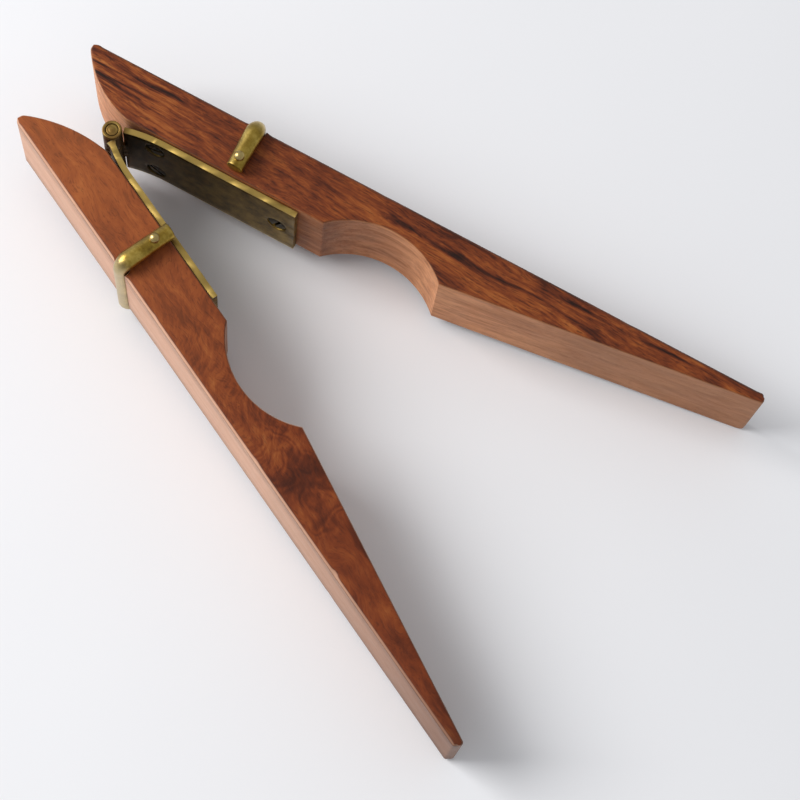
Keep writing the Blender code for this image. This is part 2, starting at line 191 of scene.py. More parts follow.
# %% [markdown]
# ## Light
# A broad window light comes from the near left, about as high as it is far, and gives
# the soft shadows between and beyond the levers. A pale surround, made with the finishes
# below, fills them. The window is an area light; a bare sky alone would give no
# direction, and a spot would give hard shadows.

# %% Lights
def window(name, towards, distance, size, watts):
    """An area light at a distance along a direction, turned to face the object."""
    data = bpy.data.lights.new(name, "AREA")
    data.shape = "RECTANGLE"
    data.size, data.size_y = size
    data.energy = watts
    light = bpy.data.objects.new(name, data)
    bpy.context.collection.objects.link(light)
    direction = Vector(towards).normalized()
    light.location = LOOK_AT + direction * distance
    light.rotation_euler = (-direction).to_track_quat("-Z", "Y").to_euler()
    print(name, "stands at", [round(c, 2) for c in light.location])
    return light


window("window_light", (-0.89, -0.43, 0.71), 1.5, (0.92, 0.92), 22.0)

bpy.context.scene.view_settings.view_transform = "Standard"

# %% [markdown]
# ## The wooden levers
# Each lever is a bar of rosewood 25 mm thick, sawn to one outline: a curved tail, a flat
# seat for the leaf, a round notch for large nuts, and a grip that tapers to a blunt tip.
# A maker would saw the outline, sand it, and ease the long edges. The surface here is
# made the same way: two curves, the inner and the outer side of the outline, share one
# list of stations, and a section is drawn between them at each station. The eased edges
# are a profile of small insets carried along both curves, wide on the outer edge that
# the hand holds, and narrow on the inner one.

# %% Lever sizes
HALF_THICKNESS = 12.5
SEAT_V = 4.4
OUTER_V = 19.6
TAIL_CORNER_U = {"left": 4.4, "right": 1.8}
TAIL_HEEL_U = {"left": -18.4, "right": -18.1}
TAIL_RADIUS = {"left": 42.0, "right": 30.4}
NOSE_RADIUS = 1.7
NOTCH_START_U = 60.8
NOTCH_END_U = 95.1
NOTCH_DEPTH = 7.0
TIP_U = 183.9
TIP_WIDTH = 2.5
TIP_SLANT = 1.5
TIP_RADIUS = 0.8
TIP_LIFT = 1.5
TIP_LIFT_LENGTH = 2.8
RIVET_U = {"left": 33.3, "right": 33.6}
YOKE_BAR_U = {"left": 33.9, "right": 33.2}
YOKE_BAR_V = 19.1
GROOVE_RADIUS = 2.3
INNER_EASE = 0.3


# %% Outline curves
def arc(centre, radius, start, end, count):
    """Points of an arc: the centre plus the radius at evenly spaced angles in degrees."""
    angle = np.radians(np.linspace(start, end, count))
    return np.asarray(centre) + radius * np.stack([np.cos(angle), np.sin(angle)], axis=-1)


def tail_circle(side_name):
    """The centre of the tail's circle, from its two ends and its radius."""
    corner = np.array([TAIL_CORNER_U[side_name], SEAT_V])
    heel = np.array([TAIL_HEEL_U[side_name], OUTER_V])
    chord = heel - corner
    length = np.linalg.norm(chord)
    rise = math.sqrt(TAIL_RADIUS[side_name] ** 2 - (length / 2) ** 2)
    return (corner + heel) / 2 + np.array([chord[1], -chord[0]]) / length * rise


def nose_circle(side_name):
    """The centre of the small circle that touches the tail's circle and the outer edge."""
    centre, reach = tail_circle(side_name), TAIL_RADIUS[side_name] - NOSE_RADIUS
    v = OUTER_V - NOSE_RADIUS
    return np.array([centre[0] - math.sqrt(reach ** 2 - (centre[1] - v) ** 2), v])


def rounded(before, corner, after, radius, count):
    """The arc that rounds a corner between two straight lines, on the corner's inside."""
    before, corner, after = (np.asarray(p, float) for p in (before, corner, after))
    back_way = (before - corner) / np.linalg.norm(before - corner)
    on_way = (after - corner) / np.linalg.norm(after - corner)
    half = math.acos(float(back_way @ on_way)) / 2
    middle = (back_way + on_way) / np.linalg.norm(back_way + on_way)
    centre = corner + middle * radius / math.sin(half)
    start = corner + back_way * radius / math.tan(half) - centre
    end = corner + on_way * radius / math.tan(half) - centre
    first = math.degrees(math.atan2(start[1], start[0]))
    turn = math.degrees(math.atan2(start[0] * end[1] - start[1] * end[0], float(start @ end)))
    return arc(centre, radius, first, first + turn, count)


def inner_curve(side_name):
    """The outline's inner side: nose, tail arc, seat, notch arc, grip and half the tip.

    The notch is the arc through its two corners and its depth: its radius is the half
    width squared plus the depth squared, over twice the depth.
    """
    centre, radius = tail_circle(side_name), TAIL_RADIUS[side_name]
    nose = nose_circle(side_name)
    touch = math.degrees(math.atan2(nose[1] - centre[1], nose[0] - centre[0])) % 360
    across = TAIL_CORNER_U[side_name] - centre[0]
    finish = math.degrees(math.atan2(SEAT_V - centre[1], across)) % 360
    half = (NOTCH_END_U - NOTCH_START_U) / 2
    notch_radius = (half ** 2 + NOTCH_DEPTH ** 2) / (2 * NOTCH_DEPTH)
    middle = (NOTCH_START_U + half, SEAT_V + NOTCH_DEPTH - notch_radius)
    swing = math.degrees(math.asin(half / notch_radius))
    corner = (TIP_U, OUTER_V - TIP_WIDTH)
    end = (TIP_U - TIP_SLANT, OUTER_V)
    halfway = (np.asarray(corner) + np.asarray(end)) / 2
    parts = [
        arc(nose, NOSE_RADIUS, 150, touch, 9),
        arc(centre, radius, touch, finish, 34)[1:],
        arc(middle, notch_radius, 90 + swing, 90 - swing, 56),
        rounded((NOTCH_END_U, SEAT_V), corner, end, TIP_RADIUS, 7),
        halfway[None],
    ]
    return np.concatenate(parts)


def outer_curve(side_name):
    """The outline's outer side: nose, the long straight with the yoke's groove, the tip."""
    groove = arc((YOKE_BAR_U[side_name], YOKE_BAR_V), GROOVE_RADIUS, 180, 360, 25)
    lips = np.array([[groove[0, 0] - 0.02, OUTER_V], [groove[-1, 0] + 0.02, OUTER_V]])
    corner = (TIP_U - TIP_SLANT, OUTER_V)
    inner = (TIP_U, OUTER_V - TIP_WIDTH)
    halfway = (np.asarray(corner) + np.asarray(inner)) / 2
    parts = [
        arc(nose_circle(side_name), NOSE_RADIUS, 150, 90, 7),
        lips[:1],
        groove,
        lips[1:],
        rounded((0, OUTER_V), corner, inner, TIP_RADIUS, 7),
        halfway[None],
    ]
    return np.concatenate(parts)


print("the noses are at u", [round(float(nose_circle(name)[0]), 2) for name in SIDES])


# %% Shared stations
def stations(side_name):
    """Matching inner and outer points, close at the curves and 1 mm apart elsewhere.

    Between the tail's corner and the tip both curves give v as a function of u, so one
    sorted list of u serves both. At the ends the curves are read by their own length.
    """
    inner, outer = inner_curve(side_name), outer_curve(side_name)
    start, stop = TAIL_CORNER_U[side_name], TIP_U - 4.0
    keys = np.concatenate([inner[:, 0], outer[:, 0], np.arange(start, stop, 1.0)])
    keys = np.unique(np.round(keys[(keys >= start) & (keys <= stop)], 3))
    keys = keys[np.concatenate([[True], np.diff(keys) > 0.015])]
    body = [np.interp(keys, curve[:, 0], curve[:, 1]) for curve in (inner, outer)]
    body_in, body_out = (np.stack([keys, v], axis=-1) for v in body)

    def end_piece(piece, count, power):
        run = np.concatenate([[0], np.cumsum(np.linalg.norm(np.diff(piece, axis=0), axis=1))])
        share = run[-1] * np.linspace(0, 1, count) ** power
        return np.stack([np.interp(share, run, piece[:, k]) for k in (0, 1)], axis=-1)

    tail_in = np.concatenate([inner[inner[:, 0] < start], body_in[:1]])
    tail_out = np.concatenate([outer[outer[:, 0] < start], body_out[:1]])
    tip_in = np.concatenate([body_in[-1:], inner[inner[:, 0] > stop]])
    tip_out = np.concatenate([body_out[-1:], outer[outer[:, 0] > stop]])
    tails = [end_piece(c, 48, 1.3)[:-1] for c in (tail_in, tail_out)]
    tips = [end_piece(c[::-1], 36, 1.4)[::-1][1:] for c in (tip_in, tip_out)]
    first = np.concatenate([tails[0], body_in, tips[0]])
    second = np.concatenate([tails[1], body_out, tips[1]])
    return first, second


def outward(points_in, points_out):
    """Outward directions of the closed outline, mitred at its corners."""
    loop = np.concatenate([points_in, points_out[-2:0:-1]])
    step = np.roll(loop, -1, axis=0) - loop
    step /= np.maximum(np.linalg.norm(step, axis=1, keepdims=True), 1e-9)
    facing = np.stack([step[:, 1], -step[:, 0]], axis=-1)
    before = np.roll(facing, 1, axis=0)
    share = np.maximum(1 + np.sum(facing * before, axis=1, keepdims=True), 0.6)
    mitred = (facing + before) / share
    count = len(points_in)
    back_side = np.concatenate([mitred[:1], mitred[count:][::-1], mitred[count - 1:count]])
    return mitred[:count], back_side


outlines = {name: stations(name) for name in SIDES}
print("stations along the levers:", [len(lines[0]) for lines in outlines.values()])


# %% Lever surface
EASE_STEPS = 7
WALL_STEPS = 5
TOP_STEPS = 11
CROWN = 0.10
END_EASE_WIDTH = 0.45
OUTER_EASE = {"left": 0.72, "right": 1.1}
EASE_SHAPE = {"left": 1.85, "right": 1.15}
DENTS = {"left": [(130.8, 0.55, 1.1), (96.0, 0.2, 1.6), (49.5, 0.18, 1.2)],
         "right": [(71.0, 0.2, 1.5), (143.0, 0.25, 1.8)]}


def ease_along(side_name):
    """How wide each edge is eased: narrow inside, wide outside, with a few small dents."""
    line_in, line_out = outlines[side_name]
    u = line_out[:, 0]
    from_groove = np.abs(u - YOKE_BAR_U[side_name]) - GROOVE_RADIUS
    near_groove = np.exp(-(from_groove.clip(0) / 0.8) ** 2)
    outside = OUTER_EASE[side_name] * (1 - 0.75 * near_groove)
    for at, depth, reach in DENTS[side_name]:
        outside = outside + depth * np.exp(-((u - at) / reach) ** 2)
    run = np.minimum(u - u.min(), u.max() - u)
    blend = np.clip(run / 2.5, 0, 1)
    both = END_EASE_WIDTH
    room = np.linalg.norm(line_out - line_in, axis=1) * 0.4
    inside = np.minimum(both + (INNER_EASE - both) * blend, room)
    outside = np.minimum(both + (outside - both) * blend, room)
    return inside, outside


def edge_profile(shape):
    """Inset and drop of a quarter edge, as shares of its width.

    The inset is one less the cosine and the drop one less the sine of an angle, each
    raised to a power: 1 gives a round edge and 2 a flat chamfer.
    """
    angle = np.linspace(0, math.pi / 2, EASE_STEPS)
    return 1 - np.cos(angle) ** shape, 1 - np.sin(angle) ** shape


def lever_points(side_name):
    """The lever as stations by section points, from the lower face right round.

    A section goes up the inner side, across the top, down the outer side and back
    across the bottom. The faces fall off by a tenth of a millimetre at their edges,
    as hand sanding leaves them.
    """
    line_in, line_out = outlines[side_name]
    normal_in, normal_out = outward(line_in, line_out)
    ease_in, ease_out = ease_along(side_name)
    inset, drop = edge_profile(EASE_SHAPE[side_name])
    edge = HALF_THICKNESS - CROWN
    wall_share = np.array([-0.97, -0.5, 0.0, 0.5, 0.97])

    def side_columns(line, normal, ease):
        up_inset = np.concatenate([inset[::-1], np.zeros(WALL_STEPS), inset])
        low = -(edge - drop[::-1] * ease[:, None])
        high = edge - drop * ease[:, None]
        wall = wall_share * (edge - ease[:, None])
        z = np.concatenate([low, wall, high], axis=1)
        plan = line[:, None] - normal[:, None] * (up_inset * ease[:, None])[..., None]
        return np.concatenate([plan, z[..., None]], axis=-1)

    up = side_columns(line_in, normal_in, ease_in)
    down = side_columns(line_out, normal_out, ease_out)[:, ::-1]
    share = np.concatenate([[0.012], np.linspace(0.09, 0.91, TOP_STEPS - 2), [0.988]])[:, None]
    rise = CROWN * (1 - np.abs(2 * share[:, 0] - 1) ** 4)
    top = up[:, -1][:, None] * (1 - share) + down[:, 0][:, None] * share
    bottom = down[:, -1][:, None] * (1 - share) + up[:, 0][:, None] * share
    width = np.linalg.norm(down[:, 0] - up[:, -1], axis=1)[:, None]
    fade = np.clip(width / 4.0, 0, 1)
    top[..., 2] += rise * fade
    bottom[..., 2] -= rise * fade
    points = np.concatenate([up, top, down, bottom], axis=1)
    near_tip = np.clip(1 + (points[..., 0] - TIP_U) / TIP_LIFT_LENGTH, 0, 1)
    points[..., 2] += TIP_LIFT * near_tip ** 2 * np.clip(-points[..., 2] / edge, 0, 1)
    return points, section_tones(side_name, line_in[:, 0])


# How pale the inner wall is along u, partly saw-cut wood and partly painted light: palest at the
# tail, which faces the window, and along the grip, least pale beside the leaf.
PALE_AT = (-5, 2, 4, 52, 54, 60, 61, 70, 82)
PALENESS = (1.0, 0.9, 0.3, 0.3, 0.5, 0.55, 0.45, 0.75, 1.0)


def section_tones(side_name, u):
    """How much painted shade and how much pale tone each point of a section has, from 0 to 1.

    The left lever's outer edge is a pale chamfer, a painted highlight, between thin dark
    lines of painted shade; the right one's is painted dark all over, as shade on an edge
    turned from the light. The inner edges are painted darker too, most beside the leaf,
    as a contact shadow. The walls that the saw left are paler than the oiled faces,
    partly from the cut and partly from painted light, least so beside the leaf. The
    notch's near end, which faces away from the light, gets painted shade.
    """
    calm = np.zeros(TOP_STEPS)
    wall = np.zeros(WALL_STEPS)
    # Painted shade across the eased edges, from the face to the wall: a little on the inner edges; on
    # the left outer edge, dark lines at both sides of its pale chamfer; on the right outer edge, shade
    # over the whole edge, which is turned from the light.
    inner_edge = np.array([0.0, 0.5, 0.8, 0.6, 0.2, 0.0, 0.0])
    line = np.array([0.6, 0.9, 0.0, 0.0, 0.0, 0.6, 1.0])
    painted_light = np.array([0.0, 0.35, 0.7, 1.0, 1.0, 1.0, 0.9])
    outer_edge = line if side_name == "left" else painted_light
    outer_wall = np.array([0.5, 0.0, 0.0, 0.0, 0.5])
    painted_shade = [inner_edge, wall, inner_edge[::-1], calm, outer_edge, outer_wall, outer_edge[::-1], calm]
    # The pale tone: partly saw-cut wood, partly painted light. The left lever's outer chamfer and wall,
    # which face the window, take it in full as a painted highlight; the right one's takes little.
    pale_edge = np.array([0.0, 0.1, 0.7, 1.0, 1.0, 1.0, 1.0])
    outer_pale = 1.0 if side_name == "left" else 0.15
    sawn_and_lit = [pale_edge, wall + 1.0, pale_edge[::-1], calm, pale_edge * outer_pale,
            wall + outer_pale, pale_edge[::-1] * outer_pale, calm]
    painted_shade, sawn_and_lit = (np.tile(np.concatenate(row), (len(u), 1)) for row in (painted_shade, sawn_and_lit))
    inside = 2 * EASE_STEPS + WALL_STEPS
    wall_paleness = np.interp(u, PALE_AT, PALENESS)
    # Painted shade at the notch's near end, which faces away from the light, and a painted contact
    # shadow along the inner edges beside the leaf.
    notch_shade = 0.5 * np.exp(-(u - NOTCH_START_U).clip(0) / 2.5) * (u > NOTCH_START_U)
    leaf_contact_shadow = np.where((u > 2) & (u < NOTCH_START_U - 7), 1.6, 1.0)
    sawn_and_lit[:, :inside] *= wall_paleness[:, None]
    painted_shade[:, :inside] = np.minimum(painted_shade[:, :inside] * leaf_contact_shadow[:, None] + notch_shade[:, None], 1.0)
    return {"painted_shade": painted_shade, "sawn_and_lit": sawn_and_lit}


def make_lever(side_name):
    """One lever: its points placed on its side of the hinge and closed around."""
    points, tones = lever_points(side_name)
    rows, columns = points.shape[:2]
    faces = grid_faces(rows, columns, close_columns=True)
    surface = placed(points, SIDES[side_name])
    return mesh_piece(side_name + "_lever_wood", surface, faces, 42.0, tones)


levers = {name: make_lever(name) for name in SIDES}
WOOD_SLOTS = {"left": "reddish_rosewood", "right": "striped_rosewood"}
for name, piece in levers.items():
    fit_to_part(piece, name + "_side", WOOD_SLOTS[name], [name + "_lever"])

# %% [markdown]
# ## The brass leaves
# A leaf is a strap of sheet brass, flat on the lever's seat and bent inwards to meet its
# knuckles. It could be a solid box bent by a modifier. A sheet of points with thickness
# added afterwards is nearer to how sheet metal is worked: draw the middle surface, leave
# out the cells where the other side's knuckle turns, thicken, countersink the screw
# holes with cone cutters, and soften the sawn edges with a small bevel.

# %% Leaf sizes
LEAF_LENGTH = 53.5
LEAF_THICKNESS = 1.6
LEAF_FRONT_V = 2.5
LEAF_HEIGHT = 22.9
LEAF_BEND_END_U = 14.2
LEAF_BEND_RADIUS = 46.0
KNUCKLE_LENGTH = 8.067
KNUCKLE_GAP = 0.3
KNUCKLE_STEP = KNUCKLE_LENGTH + KNUCKLE_GAP
OWN_START_U = 2.35
CLEAR_START_U = 2.5
SCREW_PLACES = (("upper", 11.3, 6.7, 20.0), ("lower", 11.3, -6.7, -35.0), ("end", 48.2, 0.0, 65.0))
HEAD_RADIUS = 2.7
HOLE_RADIUS = 2.9
SHANK_HOLE_RADIUS = 1.6


def leaf_front(u):
    """How far the leaf's front face is from the middle line: flat, then an arc to the pin."""
    reach = np.clip(LEAF_BEND_END_U - np.asarray(u, float), 0, None)
    return LEAF_FRONT_V - LEAF_BEND_RADIUS + np.sqrt(LEAF_BEND_RADIUS ** 2 - reach ** 2)


# %% Turned solids
def turned(profile, count=64):
    """A turned surface: each (height, radius) of the profile goes round a circle.

    A point is the radius times the cosine, the radius times the sine, and the height.
    """
    height, radius = np.asarray(profile, float).T
    angle = np.linspace(0, 2 * math.pi, count, endpoint=False)
    x = radius[:, None] * np.cos(angle)
    y = radius[:, None] * np.sin(angle)
    z = np.broadcast_to(height[:, None], x.shape)
    return np.stack([x, y, z], axis=-1)


def along_pin(points, u, v):
    """Stand a turned shape upright at (u, v)."""
    return points + np.array([u, v, 0.0])


def into_leaf(points, u, v, z):
    """Lay a turned shape on its side at (u, v, z), its height running outwards along v."""
    x, y, h = np.moveaxis(points, -1, 0)
    return np.stack([u + x, v + h, z + y], axis=-1)


# %% Leaf surface
def leaf_sheet(side_name):
    """The leaf's middle surface and the cells that stay.

    u runs from the knuckles to the end and z from edge to edge. v is the front face's
    distance plus half the thickness. The first column of cells stays only where the
    side's own knuckles are.
    """
    u = np.concatenate([[OWN_START_U, CLEAR_START_U], np.linspace(3.6, LEAF_BEND_END_U, 14),
                        np.linspace(LEAF_BEND_END_U, LEAF_LENGTH, 18)[1:]])
    middle = KNUCKLE_LENGTH / 2 + (KNUCKLE_GAP if side_name == "left" else 0.0)
    half = LEAF_HEIGHT / 2
    z = np.concatenate([np.linspace(-half, -middle, 5), np.linspace(-middle, middle, 7)[1:-1],
                        np.linspace(middle, half, 5)])
    grid_u, grid_z = np.meshgrid(u, z, indexing="ij")
    v = leaf_front(grid_u) + LEAF_THICKNESS / 2
    faces = grid_faces(len(u), len(z))
    centre_z = np.abs((z[1:] + z[:-1]) / 2)
    own = centre_z > middle if side_name == "left" else centre_z < middle
    stays = np.ones((len(u) - 1, len(z) - 1), bool)
    stays[0] = own
    return np.stack([grid_u, v, grid_z], axis=-1), faces[stays.ravel()]


def apply_modifiers(piece):
    """Give a piece the mesh that its modifiers make, and take the modifiers off."""
    graph = bpy.context.evaluated_depsgraph_get()
    done = bpy.data.meshes.new_from_object(piece.evaluated_get(graph))
    piece.modifiers.clear()
    old = piece.data
    piece.data = done
    bpy.data.meshes.remove(old)


def clear_loose(piece):
    """Drop the points that no face uses."""
    shaped = bmesh.new()
    shaped.from_mesh(piece.data)
    loose = [v for v in shaped.verts if not v.link_faces]
    bmesh.ops.delete(shaped, geom=loose, context="VERTS")
    shaped.to_mesh(piece.data)
    shaped.free()


def make_leaf(side_name):
    """One leaf: the sheet thickened, countersunk and softened along its edges."""
    side = SIDES[side_name]
    points, faces = leaf_sheet(side_name)
    leaf = mesh_piece(side_name + "_leaf", placed(points, side), faces)
    clear_loose(leaf)
    thick = leaf.modifiers.new("thickness", "SOLIDIFY")
    thick.thickness = LEAF_THICKNESS * MM
    thick.offset = 0.0
    thick.use_even_offset = True
    apply_modifiers(leaf)
    cutters = []
    for name, u, z, _ in SCREW_PLACES:
        cone = turned([(-1.5, HOLE_RADIUS), (0.35, HOLE_RADIUS), (1.65, SHANK_HOLE_RADIUS),
                       (3.0, SHANK_HOLE_RADIUS)], 48)
        shape = into_leaf(cone, u, float(leaf_front(u)), z)
        rim = with_caps(shape, grid_faces(4, 48, close_columns=True))
        cutter = bpy.data.meshes.new("cutter")
        cutter.from_pydata(placed(shape, side).reshape(-1, 3), [], rim)
        shaped = bmesh.new()
        shaped.from_mesh(cutter)
        bmesh.ops.recalc_face_normals(shaped, faces=shaped.faces)
        shaped.to_mesh(cutter)
        shaped.free()
        cutters.append(bpy.data.objects.new("cutter_" + name, cutter))
        bpy.context.collection.objects.link(cutters[-1])
        hole = leaf.modifiers.new("hole_" + name, "BOOLEAN")
        hole.object = cutters[-1]
        hole.operation = "DIFFERENCE"
        hole.solver = "EXACT"
    soft = leaf.modifiers.new("soft_edges", "BEVEL")
    soft.width = 0.20 * MM
    soft.segments = 2
    soft.limit_method = "ANGLE"
    soft.angle_limit = math.radians(38)
    soft.harden_normals = True
    apply_modifiers(leaf)
    for cutter in cutters:
        bpy.data.objects.remove(cutter)
    leaf.data.shade_smooth()
    leaf.data.set_sharp_from_angle(angle=math.radians(30))
    return leaf


leaves = {name: make_leaf(name) for name in SIDES}
for name, piece in leaves.items():
    fit_to_part(piece, name + "_side", "aged_brass_leaf", [name + "_hinge_leaf"])

# %% [markdown]
# ## Knuckles and pin
# Three short tubes share the pin: the upper and lower ones belong to the left leaf and
# the middle one to the right. Each is a closed profile, the wall of a tube with rounded
# rims, turned round the pin. The pin's ends are peened, so they are low domes with a
# ring where the hammer spread them.

# %% Knuckles and pin
KNUCKLE_RADIUS = 2.6
BORE_RADIUS = 1.75
PIN_RADIUS = 1.55
PIN_HALF = 12.4


def tube_profile(low, high, outside, bore, ease):
    """The closed section of a tube: up the outside, over a rounded rim, down the bore."""
    quarter = np.linspace(0, math.pi / 2, 5)
    run = ease * (1 - np.cos(quarter))
    rise = ease * (1 - np.sin(quarter))
    top_out = np.stack([high - rise, outside - run], axis=-1)
    top_in = np.stack([high - rise[::-1], bore + run[::-1]], axis=-1)
    bottom_in = np.stack([low + rise, bore + run], axis=-1)
    bottom_out = np.stack([low + rise[::-1], outside - run[::-1]], axis=-1)
    return np.concatenate([top_out, top_in, bottom_in, bottom_out])


def make_knuckle(name, middle_z):
    """One tube of the barrel, closed both round the pin and round its own section."""
    half = KNUCKLE_LENGTH / 2
    profile = tube_profile(middle_z - half, middle_z + half, KNUCKLE_RADIUS, BORE_RADIUS, 0.22)
    surface = turned(profile, 96)
    faces = grid_faces(*surface.shape[:2], close_rows=True, close_columns=True)
    return mesh_piece(name, placed(surface, 1), faces, 50.0)


for side_name, place, middle_z in (("left", "upper", KNUCKLE_STEP), ("left", "lower", -KNUCKLE_STEP),
                                   ("right", "middle", 0.0)):
    knuckle = make_knuckle(place + "_knuckle", middle_z)
    node = side_name + "_" + place + "_knuckle"
    fit_to_part(knuckle, side_name + "_side", "aged_brass_leaf", [node])

share = np.linspace(0, 1, 15)
dome = PIN_HALF - 0.20 * share ** 2 - 0.05 * np.exp(-((share - 0.62) / 0.10) ** 2)
end = np.stack([dome, PIN_RADIUS * share], axis=-1)
lower_end = end * np.array([-1.0, 1.0])
pin_profile = np.concatenate([lower_end, end[::-1]])
pin_surface = turned(pin_profile, 72)
pin = mesh_piece("peened_pin", placed(pin_surface, 1),
                 grid_faces(*pin_surface.shape[:2], close_columns=True), 60.0)
fit_to_part(pin, "left_side", "aged_brass_leaf", ["hinge_pin"])

# %% [markdown]
# ## The brazed joints
# Where a leaf meets its knuckle the real hinge is brazed: a little melted brass drew
# into the corner and left a hollow fillet on each face, brown from the flux. Each fillet
# is a small section of two hollow curves, carried along the pin for the knuckle's
# height, with its width wavering a little as a hand-made joint does.

# %% Braze fillets
BRAZE_REACH = 2.1


def braze_points(low, high):
    """A fillet's section, a closed ring of points in u and v, at each height of z.

    Along the leaf the half width falls from the ring's own height to nothing by a power
    curve; the two sides mirror each other across the leaf's middle surface.
    """
    z = np.linspace(low, high, 15)
    waver = 1 + 0.10 * np.sin(z * 2.9) + 0.07 * np.sin(z * 5.3 + 1.0)
    share = np.linspace(0, 1, 9)
    u = 2.15 + (BRAZE_REACH * share)[None] * waver[:, None]
    middle = leaf_front(u) + LEAF_THICKNESS / 2
    half = LEAF_THICKNESS / 2 - 0.02 + 0.62 * (1 - share[None]) ** 2.2 * waver[:, None]
    front = np.stack([u, middle - half], axis=-1)
    back_face = np.stack([u, middle + half], axis=-1)[:, ::-1]
    ring = np.concatenate([front, back_face], axis=1)
    height = np.broadcast_to(z[:, None, None], ring.shape[:2] + (1,))
    return np.concatenate([ring, height], axis=-1)


half_knuckle = KNUCKLE_LENGTH / 2
BRAZE_SPANS = {"left_upper": (KNUCKLE_STEP - half_knuckle + 0.2, LEAF_HEIGHT / 2 - 0.05),
               "left_lower": (-LEAF_HEIGHT / 2 + 0.05, half_knuckle - KNUCKLE_STEP - 0.2),
               "right_middle": (KNUCKLE_GAP - half_knuckle, half_knuckle - KNUCKLE_GAP)}
for name, (low, high) in BRAZE_SPANS.items():
    side_name = name.split("_")[0]
    surface = braze_points(low, high)
    faces = with_caps(surface, grid_faces(*surface.shape[:2], close_columns=True))
    piece = mesh_piece(name + "_braze", placed(surface, SIDES[side_name]), faces, 60.0)
    fit_to_part(piece, side_name + "_side", "aged_brass_leaf")

# %% [markdown]
# ## Slotted screws
# Six countersunk wood screws hold the leaves, their heads a little below the brass. The
# face of a head is a set of rows that run along the slot, so that the slot's walls fall
# exactly between two rows. The rows' ends give the angles of the shank's rings, which
# closes the head on the shank without a seam. Below it a ridge that climbs one pitch in
# each turn makes the thread.

# %% Screw surface
SCREW_LENGTH = 12.5
THREAD_START = 4.0
THREAD_PITCH = 1.3
THREAD_END = 10.5
CORE_RADIUS = 1.0
SHANK_RADIUS = 1.4
SLOT_HALF = 0.4
SLOT_DEPTH = 0.7
HEAD_SINK = 0.1


def screw_surfaces():
    """The head's face and the body below it, heights measured into the leaf.

    Row i of the face is at y = R sin a and spans x = -R cos a to R cos a; its height is
    0 on the crown, more towards the rim, and the slot's depth between the slot's walls.
    The body's rings use the same angles on both sides of the head.
    """
    wall = math.degrees(math.asin(SLOT_HALF / HEAD_RADIUS))
    upper = np.concatenate([[wall], np.linspace(wall + 0.9, 90, 11)])
    rows_at = np.radians(np.concatenate([-upper[::-1], [-wall + 0.25, 0, wall - 0.25], upper]))
    in_slot = np.abs(rows_at) < math.radians(wall - 0.1)
    t = np.linspace(-1, 1, 17)
    x = HEAD_RADIUS * np.cos(rows_at)[:, None] * t
    y = np.broadcast_to((HEAD_RADIUS * np.sin(rows_at))[:, None], x.shape)
    out = np.hypot(x, y) / HEAD_RADIUS
    crown = 0.22 * out ** 6
    depth = np.where(in_slot[:, None], SLOT_DEPTH + 0.05 * out ** 2, crown)
    face = np.stack([x, y, depth], axis=-1)

    angle = np.concatenate([rows_at, (math.pi - rows_at)[::-1]])
    rim = np.concatenate([depth[:, -1], depth[::-1, 0]])
    cone = np.array([0.30, 0.45, 1.0, 1.6])
    cone_radius = np.interp(cone, [0.30, 0.40, 1.6], [HEAD_RADIUS, HEAD_RADIUS, SHANK_RADIUS])
    shank = np.linspace(1.7, THREAD_START - 0.65, 3)
    thread = np.linspace(THREAD_START, THREAD_END, 61)
    height = np.concatenate([cone, shank, thread, [11.4, SCREW_LENGTH - 0.15, SCREW_LENGTH]])
    base = np.concatenate([cone_radius, np.full(3, SHANK_RADIUS), np.full(61, CORE_RADIUS),
                           [0.6, 0.15, 0.0]])
    fade = np.clip(np.minimum(height - THREAD_START, THREAD_END - height) / THREAD_PITCH, 0, 1)
    turn = (height[:, None] - THREAD_START) / THREAD_PITCH - angle / (2 * math.pi)
    ridge = (1 - np.abs(2 * (turn % 1.0) - 1)) ** 1.5
    radius = base[:, None] + (SHANK_RADIUS - CORE_RADIUS) * fade[:, None] * ridge
    sink = np.maximum(np.broadcast_to(height[:, None], radius.shape), rim * (height[:, None] < 0.8))
    body = np.stack([radius * np.cos(angle), radius * np.sin(angle), sink], axis=-1)
    first = np.stack([HEAD_RADIUS * np.cos(angle), HEAD_RADIUS * np.sin(angle), rim], axis=-1)
    return face, np.concatenate([first[None], body])


def make_screw(side_name, name, u, z, slot_angle):
    """One screw, its slot turned to its own angle and its head just below the brass."""
    face, body = screw_surfaces()
    turn = math.radians(slot_angle)
    spin = np.array([[math.cos(turn), math.sin(turn), 0], [-math.sin(turn), math.cos(turn), 0],
                     [0, 0, 1]])
    shapes = [into_leaf(s @ spin, u, float(leaf_front(u)) + HEAD_SINK, z) for s in (face, body)]
    counts = [s.shape[:2] for s in shapes]
    face_quads = grid_faces(*counts[0])
    body_quads = grid_faces(*counts[1], close_columns=True) + counts[0][0] * counts[0][1]
    points = np.concatenate([s.reshape(-1, 3) for s in shapes])
    faces = np.concatenate([face_quads, body_quads])
    label = side_name + "_" + name + "_screw"
    return mesh_piece(label, placed(points, SIDES[side_name]), faces, 35.0)


for side_name in SIDES:
    for name, u, z, slot_angle in SCREW_PLACES:
        piece = make_screw(side_name, name, u, z, slot_angle)
        node = side_name + "_" + name + "_leaf_screw"
        fit_to_part(piece, side_name + "_side", "tarnished_brass_screw", [node])

# %% [markdown]
# ## The yokes
# A yoke is a round brass rod bent twice, so that it lies across both faces of the lever
# and down its outer edge, half sunk in a groove. A curve object with a round bevel could
# draw it. Here a circle is carried along the path by hand, because a real rod swells
# and flattens a little where it was bent over a mandrel, and its cut ends are filed.

# %% Yoke surface
YOKE_RADIUS = 2.05
YOKE_BEND = 2.7
YOKE_LEG_Z = 14.85
YOKE_END_V = {"left": 3.2, "right": 5.4}
RIVET_V = 8.3
LEG_SWELL = 0.31
END_EASE = 0.45


